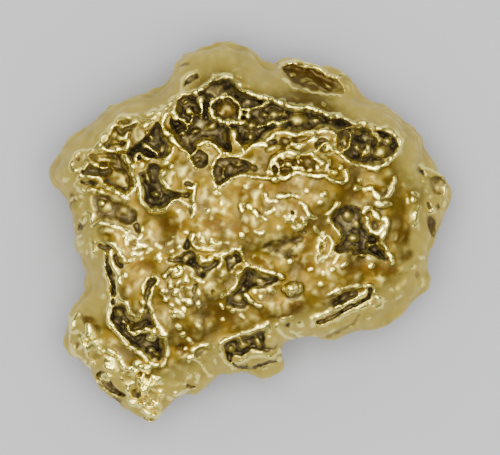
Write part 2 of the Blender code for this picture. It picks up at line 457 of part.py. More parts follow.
        (-4.30, -2.42), (-4.14, -2.52), (-3.97, -2.59), (-3.87, -2.76), (-3.76, -2.93),
        (-3.62, -2.88), (-3.42, -2.97), (-3.27, -3.08),
    ]),
    "west lobe ring": (0.065, 0.050, [
        (-4.56, -2.54), (-4.52, -2.82), (-4.42, -3.00), (-4.28, -3.08),
    ]),
    "west lobe bar": (0.065, 0.050, [
        (-4.28, -2.60), (-4.20, -2.76), (-4.13, -2.92), (-4.08, -3.02),
    ]),
    "lobe ring": (0.085, 0.042, [
        (-3.72, -3.50), (-3.62, -3.46), (-3.55, -3.54), (-3.58, -3.64), (-3.68, -3.64),
        (-3.73, -3.56),
    ]),
    "lobe ellipse": (0.080, 0.060, [(-3.66, -3.28), (-3.52, -3.38)]),
    "lobe loop": (0.080, 0.052, [
        (-3.20, -3.44), (-3.06, -3.34), (-2.86, -3.29), (-2.72, -3.36), (-2.72, -3.53),
        (-2.80, -3.70), (-2.70, -3.86),
    ]),
    "lobe low loop": (0.080, 0.052, [
        (-3.06, -3.78), (-3.10, -3.98), (-3.04, -4.15), (-2.93, -4.26), (-2.72, -4.22),
        (-2.58, -4.30), (-2.38, -4.29), (-2.28, -4.16), (-2.23, -4.05), (-2.30, -3.92),
        (-2.44, -3.84), (-2.60, -3.74),
    ]),
    "tip bar": (0.070, 0.050, [(-2.58, -4.68), (-2.42, -4.70), (-2.32, -4.62)]),
    "south-west edge bar": (0.055, 0.050, [(-1.90, -3.98), (-1.72, -3.92), (-1.58, -3.86)]),
    "east shoulder ridge": (0.080, 0.050, [(4.17, 0.63), (4.08, 0.45), (4.11, 0.26), (4.04, 0.14)]),
    "east lump rim": (0.055, 0.050, [
        (4.18, 1.66), (4.39, 1.56), (4.60, 1.49), (4.80, 1.43), (4.92, 1.28), (4.93, 1.06),
        (4.86, 0.80), (4.76, 0.62),
    ]),
    "facet ridge": (0.055, 0.055, [
        (-3.98, 0.17), (-3.70, 0.23), (-3.40, 0.17), (-3.18, 0.07), (-3.04, 0.04),
    ]),
    "west crescent rim": (0.060, 0.045, [
        (-4.20, 0.46), (-4.06, 0.52), (-3.98, 0.42), (-4.00, 0.26),
    ]),
}

# Lumps: x, y, long radius, short radius, turn in degrees, height
LUMPS = [
    (-0.36, 3.52, 0.15, 0.12, 0, 0.40), (-0.65, 3.02, 0.40, 0.34, -10, 0.16),
    (1.16, 2.82, 0.26, 0.22, 0, 0.40), (0.00, 2.66, 0.22, 0.18, 10, 0.34),
    (-0.03, 2.36, 0.14, 0.12, 0, 0.26), (0.58, 2.94, 0.16, 0.12, 0, 0.22),
    (1.60, 2.78, 0.16, 0.10, 10, 0.26), (1.98, 2.78, 0.14, 0.09, -20, 0.26),
    (-1.85, 3.02, 0.13, 0.22, 10, 0.34), (-1.00, 2.62, 0.20, 0.12, 30, 0.22),
    (-1.72, 2.46, 0.14, 0.10, 0, 0.22), (-0.62, 2.34, 0.12, 0.16, 0, 0.20),
    (-1.40, 2.50, 0.14, 0.10, 0, 0.18), (2.62, 2.53, 0.13, 0.12, 0, 0.50),
    (3.22, 1.98, 0.27, 0.23, 20, 0.38), (2.34, 2.24, 0.15, 0.25, 20, 0.34),
    (2.92, 2.50, 0.14, 0.10, 0, 0.36), (-3.66, 1.80, 0.34, 0.16, -12, 0.30),
    (-3.32, 1.36, 0.36, 0.24, -42, 0.28), (-3.46, 2.46, 0.14, 0.12, 40, 0.16),
    (-3.38, 2.20, 0.16, 0.10, 0, 0.16), (-2.58, 1.36, 0.11, 0.20, 5, 0.36),
    (-2.39, 0.95, 0.16, 0.09, -10, 0.34), (-2.50, 2.36, 0.10, 0.16, 30, 0.22),
    (-2.10, 1.34, 0.22, 0.26, 0, 0.08), (2.40, 0.44, 0.16, 0.16, 0, 0.24),
    (2.54, -0.14, 0.16, 0.09, 0, 0.34), (2.95, -0.30, 0.15, 0.12, -30, 0.40),
    (2.51, -0.42, 0.16, 0.10, 0, 0.28), (2.73, -0.52, 0.14, 0.09, -30, 0.30),
    (2.20, -0.34, 0.14, 0.11, 0, 0.34), (2.62, 0.24, 0.12, 0.12, 0, 0.22),
    (-2.36, -3.02, 0.13, 0.12, 0, 0.28), (-2.94, -2.30, 0.20, 0.13, -20, 0.26),
    (-3.30, -1.95, 0.14, 0.12, 0, 0.16), (0.15, -2.70, 0.09, 0.17, 20, 0.38),
    (-0.17, -2.75, 0.16, 0.10, -10, 0.28), (-0.50, -2.88, 0.13, 0.12, 0, 0.20),
    (0.48, -2.62, 0.13, 0.16, 0, 0.14), (0.16, -3.00, 0.26, 0.10, 5, 0.12),
    (-0.30, -1.60, 0.18, 0.12, 0, 0.16), (0.20, -1.20, 0.20, 0.10, -15, 0.16),
    (-0.90, -1.40, 0.30, 0.26, 0, 0.10), (-0.66, -1.08, 0.16, 0.20, 0, 0.08),
    (1.05, -1.36, 0.25, 0.16, 0, 0.16), (-1.62, -0.62, 0.18, 0.12, 30, 0.22),
    (0.90, -0.36, 0.22, 0.12, 20, 0.10), (0.60, -0.30, 0.14, 0.10, 0, 0.08),
    (-4.05, -3.24, 0.20, 0.16, -20, 0.16), (-2.78, -3.68, 0.14, 0.13, 0, 0.16),
    (3.76, 2.40, 0.13, 0.12, 0, 0.10), (-0.36, 3.92, 0.16, 0.11, -20, 0.11),
    (4.37, 1.32, 0.10, 0.14, 0, 0.12), (4.70, 1.14, 0.14, 0.16, 20, 0.14),
    (2.55, 3.60, 0.24, 0.16, -50, 0.12), (0.95, 1.72, 0.14, 0.10, 30, 0.12),
    (1.26, 1.68, 0.12, 0.12, 0, 0.12), (-0.35, 1.66, 0.14, 0.10, 0, 0.22),
    (-0.68, 1.58, 0.12, 0.12, 0, 0.22), (-3.60, 0.62, 0.16, 0.12, 0, 0.12),
    (-3.20, 0.56, 0.14, 0.14, 0, 0.10), (-3.61, 0.06, 0.20, 0.11, 5, 0.08),
    (1.40, 3.70, 0.20, 0.08, -15, 0.16), (-3.67, 1.18, 0.08, 0.08, 0, 0.07),
    (-2.20, 3.09, 0.10, 0.07, 0, 0.06), (-2.14, 2.48, 0.12, 0.07, -15, 0.06),
    (-2.90, -0.52, 0.10, 0.08, 0, 0.07), (-0.85, 1.04, 0.08, 0.09, 0, 0.08),
    (2.32, -0.80, 0.11, 0.06, 35, 0.05), (3.47, -0.72, 0.08, 0.08, 0, 0.07),
    (2.04, 1.48, 0.11, 0.07, -30, 0.06), (1.82, 2.52, 0.12, 0.06, 5, 0.05),
    (4.27, -1.22, 0.07, 0.12, 0, 0.11), (3.20, -1.64, 0.10, 0.08, 0, 0.07),
    (1.22, -2.25, 0.11, 0.09, -30, 0.08), (1.54, -2.24, 0.09, 0.09, 0, 0.08),
    (-1.90, -1.48, 0.08, 0.08, 0, 0.07), (-1.57, -1.69, 0.08, 0.10, 0, 0.09),
    (-3.69, -1.57, 0.08, 0.08, 0, 0.07), (-3.32, -1.10, 0.08, 0.08, 0, 0.07),
    (-3.92, -0.46, 0.09, 0.07, 60, 0.06), (-3.38, -2.42, 0.10, 0.07, -50, 0.06),
    (-1.36, -3.53, 0.07, 0.09, 0, 0.08), (-1.82, -3.98, 0.11, 0.06, 20, 0.05),
    (-4.10, -3.30, 0.10, 0.08, 0, 0.07), (-3.98, -3.18, 0.09, 0.07, 0, 0.06),
    (-2.75, -3.62, 0.09, 0.09, 0, 0.08), (-2.33, -4.20, 0.08, 0.08, 0, 0.07),
    (-1.08, 2.16, 0.14, 0.10, -20, 0.09),
]

SIDE_SEED = 29
SIDE_PITS = 60
SIDE_LUMPS = 50
SIDE_PIT_DEPTH = 0.36  # as a share of the pit's reach
SIDE_LUMP_HEIGHT = 0.22  # as a share of the lump's reach
SIDE_REACH = (0.28, 0.80)  # radius of one such pit or lump, least and most
SIDE_STRETCH = (1.0, 2.2)  # how much longer than wide it is, least and most
SIDE_TOP = 0.15  # how far above level such a place may lie, seen from the nugget's middle

GROUND = [(0.075, 0.60, 3.0), (0.035, 0.24, 5.0)]  # waviness of the top: height, size, layer
FLANK = (0.45, 0.95)  # how far inside the outline the worn flank ends, least and most
FLANK_WEAR = 0.6  # share of the waviness worn off the flank
SWELLS = [(0.07, 1.3), (0.07, 0.55)]  # waviness of the whole skin: height, size
BODY_SMOOTHING = 14
REST_RADIUS = 1.5  # round the middle of the underside, where wear has left it plain


def smooth_line(points, closed=False, step=0.08):
    """Points about a step apart along a Catmull-Rom curve through the given ones."""
    knots = np.array(points, float)
    if closed:
        knots = np.vstack([knots[-1], knots, knots[0], knots[1]])
    else:
        knots = np.vstack([2 * knots[0] - knots[1], knots, 2 * knots[-1] - knots[-2]])
    line = []
    for a, b, c, d in zip(knots, knots[1:], knots[2:], knots[3:]):
        count = max(1, int(np.linalg.norm(c - b) / step))
        for t in np.arange(count) / count:
            line.append(
                0.5 * (2 * b + (c - a) * t + (2 * a - 5 * b + 4 * c - d) * t**2
                       + (3 * b - a - 3 * c + d) * t**3)
            )
    if not closed:
        line.append(knots[-2])
    return np.array(line)


def distance(places, line, closed=False):
    """Distance from each place to the line."""
    ends = np.roll(line, -1, axis=0) if closed else line[1:]
    starts = line if closed else line[:-1]
    best = np.full(len(places), np.inf)
    for start, end in zip(starts, ends):
        along = end - start
        share = np.clip((places - start) @ along / max(along @ along, 1e-12), 0, 1)
        best = np.minimum(best, np.hypot(*(places - start - share[:, None] * along).T))
    return best


def is_inside(places, outline):
    """True for each place inside the closed outline."""
    x, y = places.T
    inside = np.zeros(len(places), bool)
    for (x0, y0), (x1, y1) in zip(outline, np.roll(outline, -1, axis=0)):
        if y0 != y1:
            inside ^= ((y0 > y) != (y1 > y)) & (x < (x1 - x0) * (y - y0) / (y1 - y0) + x0)
    return inside


def near(places, line, margin):
    """Indices of the places inside the line's box and a margin round it."""
    low, high = line.min(axis=0) - margin, line.max(axis=0) + margin
    return np.flatnonzero(((places > low) & (places < high)).all(axis=1))


def ease(share):
    share = np.clip(share, 0, 1)
    return share * share * (3 - 2 * share)


def top_height(places):
    """Height of the top before its pits, blended from the heights in TOP."""
    total = np.zeros(len(places))
    weight = np.zeros(len(places))
    for x, y, z in TOP:
        felt = np.exp(-((places[:, 0] - x) ** 2 + (places[:, 1] - y) ** 2) / (2 * TOP_REACH**2))
        total += z * felt
        weight += felt
    return total / np.maximum(weight, 1e-9)


def ripple(places, size, layer):
    """Soft noise from about -1 to 1, with swells of about the given size."""
    return np.array([1.6 * noise.noise(Vector((x, y, layer))) for x, y in places / size])


def ground(places):
    """Waviness of the top between its pits and ridges."""
    inset = distance(places, smooth_line(OUTLINE, closed=True, step=0.1), True)
    flank = 1 - ease((inset - FLANK[0]) / (FLANK[1] - FLANK[0]))
    waves = sum(height * ripple(places, size, layer) for height, size, layer in GROUND)
    return waves * (1 - FLANK_WEAR * flank)


def relief(places):
    """How much the top rises or sinks at each place: pits, cracks, ridges and lumps."""
    sunk = np.zeros(len(places))
    filled = np.zeros(len(places))
    lip = np.zeros(len(places))
    for depth, wall, points in PITS.values():
        outline = smooth_line(points, closed=True)
        at = near(places, outline, 0.05)
        inset = np.where(is_inside(places[at], outline), distance(places[at], outline, True), 0)
        sunk[at] = np.maximum(sunk[at], depth * ease(inset / wall))
    for depth, half_width, points in CRACKS.values():
        line = smooth_line(points)
        at = near(places, line, half_width)
        share = distance(places[at], line) / half_width
        sunk[at] += depth * ease(1.25 * (1 - share))
    for height, half_width, points in RIDGES.values():
        line = smooth_line(points)
        at = near(places, line, 3 * half_width)
        share = distance(places[at], line) / half_width
        lip[at] = np.maximum(lip[at], height * np.exp(-share**2))
        filled[at] = np.maximum(filled[at], ease(2 - share))
    for x, y, long_radius, short_radius, turn, height in LUMPS:
        angle = math.radians(turn)
        away = places - (x, y)
        along = away @ (math.cos(angle), math.sin(angle)) / long_radius
        across = away @ (-math.sin(angle), math.cos(angle)) / short_radius
        bulge = height * np.clip(1 - along**2 - across**2, 0, 1) ** 0.75
        lip += bulge * np.exp(-2 * filled)
    return lip + ground(places) - sunk * (1 - filled)


def drawn_out(sphere):
    """Moves a unit sphere's points to the nugget's outline, waist, top and underside."""
    outline = smooth_line(OUTLINE, closed=True)
    bearing = np.arctan2(outline[:, 1], outline[:, 0])
    order = np.argsort(bearing)
    reach = np.hypot(*outline.T)
    angle = np.arctan2(sphere[:, 1], sphere[:, 0])
    radius = np.interp(angle, bearing[order], reach[order], period=2 * math.pi)
    out = np.hypot(sphere[:, 0], sphere[:, 1])
    shape = np.empty_like(sphere)
    shape[:, 0] = out * radius * np.cos(angle)
    shape[:, 1] = out * radius * np.sin(angle)
    upper = sphere[:, 2] >= 0
    top = shape[upper, :2]
    risen = np.clip(distance(top, outline, True) / SHOULDER, 0, 1)
    risen[out[upper] > 0.9999] = 0
    shape[upper, 2] = WAIST + (top_height(top) - WAIST) * np.sqrt(1 - (1 - risen) ** 2)
    fallen = np.clip(distance(shape[~upper, :2], outline, True) / UNDERSIDE, 0, 1)
    shape[~upper, 2] = WAIST - (WAIST + BELLY) * (1 - (1 - fallen) ** 2.2) ** 0.7
    return shape


def points_of(mesh, what="co"):
    numbers = np.empty(len(mesh.vertices) * 3)
    mesh.vertices.foreach_get(what, numbers)
    return numbers.reshape(-1, 3)


def move_to(mesh, places):
    mesh.vertices.foreach_set("co", places.ravel())
    mesh.update()


def reworked(mesh, kind, **settings):
    """The mesh after one modifier."""
    holder = bpy.data.objects.new("work", mesh)
    bpy.context.scene.collection.objects.link(holder)
    modifier = holder.modifiers.new(kind, kind)
    for name, value in settings.items():
        setattr(modifier, name, value)
    evaluated = holder.evaluated_get(bpy.context.evaluated_depsgraph_get())
    result = bpy.data.meshes.new_from_object(evaluated)
    bpy.data.objects.remove(holder)
    bpy.data.meshes.remove(mesh)
    return result


def body():
    """The nugget's form without its pits: a closed skin of even cells."""
    form = bmesh.new()
    bmesh.ops.create_uvsphere(form, u_segments=240, v_segments=120, radius=1)
    mesh = bpy.data.meshes.new("body")
    form.to_mesh(mesh)
    form.free()
    move_to(mesh, drawn_out(points_of(mesh)))
    mesh = reworked(mesh, "REMESH", mode="VOXEL", voxel_size=SKIN_CELL)
    return reworked(mesh, "SMOOTH", factor=0.6, iterations=BODY_SMOOTHING)


def press_top(mesh):
    """Sinks and raises the upward side by the relief."""
    places = points_of(mesh)
    facing = points_of(mesh, "normal")[:, 2]
    upward = ease(facing / 0.35) * (places[:, 2] > WAIST)
    places[:, 2] += upward * relief(places[:, :2])
    move_to(mesh, places)


def wear_sides(mesh):
    """Seeded dents and lumps on the sides and the underside, and a slow swell everywhere."""
    random.seed(SIDE_SEED)
    places = points_of(mesh)
    normals = points_of(mesh, "normal")
    below = 1 - ease((places[:, 2] - WAIST + 0.1) / 0.8) * ease((normals[:, 2] + 0.1) / 0.5)
    shift = np.zeros(len(places))
    middle = places.mean(axis=0)
    facing = (places - middle) / np.linalg.norm(places - middle, axis=1)[:, None]
    for number in range(SIDE_PITS + SIDE_LUMPS):
        around = random.uniform(0, 2 * math.pi)
        height = random.uniform(-1, SIDE_TOP)
        level = math.sqrt(1 - height**2)
        way = (level * math.cos(around), level * math.sin(around), height)
        away = places - places[np.argmax(facing @ way)]
        reach = random.uniform(*SIDE_REACH)
        grain = np.array([random.gauss(0, 1) for axis in range(3)])
        grain /= np.linalg.norm(grain)
        stretch = random.uniform(*SIDE_STRETCH)
        away -= (1 - 1 / stretch) * (away @ grain)[:, None] * grain
        closeness = np.clip(1 - np.linalg.norm(away, axis=1) / reach, 0, 1)
        if number < SIDE_PITS:
            shift -= SIDE_PIT_DEPTH * reach * ease(1.6 * closeness)
        else:
            shift += SIDE_LUMP_HEIGHT * reach * ease(1.3 * closeness)
    shift *= below
    for height, size in SWELLS:
        shift += [height * noise.noise(Vector(place) / size) for place in places]
    from_rest = np.linalg.norm(places, axis=1) / REST_RADIUS
    places += normals * (shift * ease(2 * from_rest - 1))[:, None]
    move_to(mesh, places)


def drop_bubbles(mesh):
    """Keeps the one outer skin, where a dent has pinched a small closed bubble off it."""
    form = bmesh.new()
    form.from_mesh(mesh)
    left = set(form.verts)
    skins = []
    while left:
        skin = {left.pop()}
        edge = list(skin)
        while edge:
            found = {link.other_vert(vert) for vert in edge for link in vert.link_edges} - skin
            skin |= found
            edge = list(found)
        left -= skin
        skins.append(skin)
    skins.sort(key=len)
    bubbles = [vert for skin in skins[:-1] for vert in skin]
    bmesh.ops.delete(form, geom=bubbles, context="VERTS")
    form.to_mesh(mesh)
    form.free()


def rest_flat(mesh):
    """Cuts the underside off flat at z = 0, where the nugget rests."""
    form = bmesh.new()
    form.from_mesh(mesh)
    everything = form.verts[:] + form.edges[:] + form.faces[:]
    bmesh.ops.bisect_plane(
        form, geom=everything, plane_co=(0, 0, 0), plane_no=(0, 0, -1), clear_outer=True
    )
    rim = [edge for edge in form.edges if edge.is_boundary]
    bmesh.ops.triangle_fill(form, edges=rim, use_beauty=True, normal=(0, 0, -1))
    bmesh.ops.triangulate(form, faces=form.faces[:])
    bmesh.ops.recalc_face_normals(form, faces=form.faces[:])
    form.to_mesh(mesh)
    form.free()


def fit_to_size(mesh):
    """Centres the nugget over the origin, at its stated length, width and height, in metres."""
    places = points_of(mesh)
    low, high = places.min(axis=0), places.max(axis=0)
    middle = np.array([(low[0] + high[0]) / 2, (low[1] + high[1]) / 2, 0])
    size = np.array([high[0] - low[0], high[1] - low[1], high[2]])
    move_to(mesh, (places - middle) / size * np.array([LENGTH, WIDTH, HEIGHT]) * MM)


def gold():
    material = bpy.data.materials.new("natural_gold")
    material.use_nodes = True
    surface = material.node_tree.nodes["Principled BSDF"]
    surface.inputs["Base Color"].default_value = GOLD
    surface.inputs["Metallic"].default_value = 1.0
    surface.inputs["Roughness"].default_value = GOLD_ROUGHNESS
    return material


def nugget():
    mesh = body()
    press_top(mesh)
    wear_sides(mesh)
    mesh = reworked(mesh, "REMESH", mode="VOXEL", voxel_size=SKIN_CELL)
    drop_bubbles(mesh)
    triangles = sum(len(face.vertices) - 2 for face in mesh.polygons)
    mesh = reworked(
        mesh, "DECIMATE", ratio=FACE_COUNT / triangles, use_collapse_triangulate=True
    )
    rest_flat(mesh)
    fit_to_size(mesh)
    mesh.name = "nugget"
    mesh.materials.clear()
    mesh.materials.append(gold())
    mesh.shade_smooth()
    return bpy.data.objects.new("nugget", mesh)


for old in list(bpy.data.objects):
    bpy.data.objects.remove(old, do_unlink=True)
collection = bpy.data.collections.new("gold nugget")
bpy.context.scene.collection.children.link(collection)
collection.objects.link(nugget())
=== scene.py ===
"""Gold nugget: the finished surface of a small waterworn nugget, on a pale studio floor.

The frame gives the nugget's box. The nugget itself is worked at 1 unit = 1 mm, because the
remesher can't work finer than 0.1 mm in metres, and is brought to the frame's size at the end.
Places in the lists are in millimetres: x and y from the middle of the nugget, z up from the
face it rests on.
"""

import math
import random

import bmesh
import bpy
import numpy as np
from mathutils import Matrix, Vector, noise


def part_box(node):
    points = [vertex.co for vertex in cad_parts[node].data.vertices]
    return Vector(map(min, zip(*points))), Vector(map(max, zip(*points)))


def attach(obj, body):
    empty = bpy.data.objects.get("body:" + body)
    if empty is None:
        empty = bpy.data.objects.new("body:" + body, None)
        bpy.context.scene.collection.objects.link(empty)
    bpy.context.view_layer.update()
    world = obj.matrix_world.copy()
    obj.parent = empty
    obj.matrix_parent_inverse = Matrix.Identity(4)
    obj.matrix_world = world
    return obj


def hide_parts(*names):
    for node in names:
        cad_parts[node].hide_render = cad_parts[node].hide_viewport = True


bl_info = {
    "name": "Gold nugget",
    "version": (1, 0, 0),
    "blender": (4, 5, 0),
    "location": "View3D > Sidebar > Nugget",
    "description": "Builds a pitted, waterworn gold nugget and a pale studio round it",
    "category": "Add Mesh",
}

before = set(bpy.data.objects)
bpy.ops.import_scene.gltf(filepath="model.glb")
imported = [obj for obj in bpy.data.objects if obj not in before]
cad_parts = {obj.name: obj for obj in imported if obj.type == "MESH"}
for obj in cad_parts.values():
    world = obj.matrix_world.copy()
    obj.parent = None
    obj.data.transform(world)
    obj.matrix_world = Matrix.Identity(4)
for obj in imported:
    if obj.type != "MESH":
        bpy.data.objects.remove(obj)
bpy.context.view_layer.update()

MM = 0.001
NODE = "nugget"

MOTTLE_SIZE = 0.22 * MM  # of the stains' darker and lighter tones
PANELS = 8  # in the ring
SKY_COLOUR = (0.90, 0.92, 0.96, 1)
CAMERA_ASIDE = (-0.015 * MM, 0.108 * MM)

# ---------------------------------------------------------------- form of the nugget

# The outline seen from above, clockwise from the west point
OUTLINE = [
    (-5.04, 1.55), (-4.76, 2.01), (-4.37, 2.41), (-3.99, 2.78), (-3.57, 3.08), (-3.08, 3.34),
    (-2.50, 3.53), (-2.08, 3.85), (-1.87, 4.27), (-1.37, 4.54), (-0.77, 4.73), (-0.36, 4.61),
    (0.05, 4.48), (0.24, 4.23), (0.55, 4.12), (0.86, 4.27), (1.25, 4.31), (1.75, 4.24),
    (2.23, 3.99), (2.66, 3.70), (2.78, 3.40), (3.26, 3.22), (3.74, 2.84), (4.20, 2.38),
    (4.29, 1.93), (4.60, 1.60), (4.87, 1.43), (5.02, 1.03), (4.89, 0.62), (4.64, 0.11),
    (4.51, -0.34), (4.36, -0.94), (4.39, -1.33), (4.10, -1.64), (3.76, -1.89), (3.26, -2.17),
    (2.76, -2.37), (2.18, -2.58), (1.46, -2.68), (0.91, -2.77), (0.75, -2.87), (0.81, -3.13),
    (0.50, -3.35), (0.02, -3.40), (-0.55, -3.40), (-0.84, -3.57), (-1.30, -3.90),
    (-1.85, -4.10), (-2.10, -4.32), (-2.31, -4.72), (-2.62, -4.77), (-3.13, -4.37),
    (-3.69, -3.93), (-3.99, -3.56), (-4.25, -3.25), (-4.53, -2.97), (-4.66, -2.32),
    (-4.51, -1.90), (-4.18, -1.60), (-4.04, -1.38), (-4.13, -0.92), (-4.46, -0.38),
    (-4.52, -0.03), (-4.69, 0.53), (-4.74, 0.95), (-5.00, 1.30),
]

# Heights of the top before its pits: x, y, z
TOP = [
    (-3.9, 1.7, 3.7), (-2.5, 2.6, 4.1), (-1.0, 3.5, 4.2), (0.5, 3.2, 4.3), (2.0, 2.8, 4.2),
    (3.5, 2.3, 3.9), (3.6, 1.0, 3.8), (3.3, 0.0, 3.8), (3.4, -0.8, 3.6), (1.5, 1.5, 4.5),
    (0.0, 0.5, 4.6), (-1.5, 1.3, 4.5), (-3.3, 0.5, 4.1), (-4.2, 0.9, 3.4), (-3.5, -0.5, 3.9),
    (-1.5, -1.2, 4.3), (0.5, -1.5, 4.1), (2.0, -1.0, 4.1), (-2.7, -1.5, 3.9),
    (-1.3, -2.4, 3.5), (0.2, -2.1, 3.7), (1.5, -2.2, 3.2), (3.0, -1.7, 3.2), (-2.6, -2.6, 3.4),
    (-4.3, -2.2, 2.8), (-3.7, -3.2, 2.9), (-2.9, -3.9, 2.9), (-2.4, -4.5, 2.5),
    (-1.6, -3.5, 2.9), (-0.1, -3.0, 2.6), (4.7, 1.1, 2.6), (4.3, 0.4, 2.9), (-0.8, 4.3, 2.8),
    (1.4, 3.9, 2.5), (2.5, 3.6, 2.4), (4.2, -0.6, 2.9), (3.9, -1.3, 2.8),
]

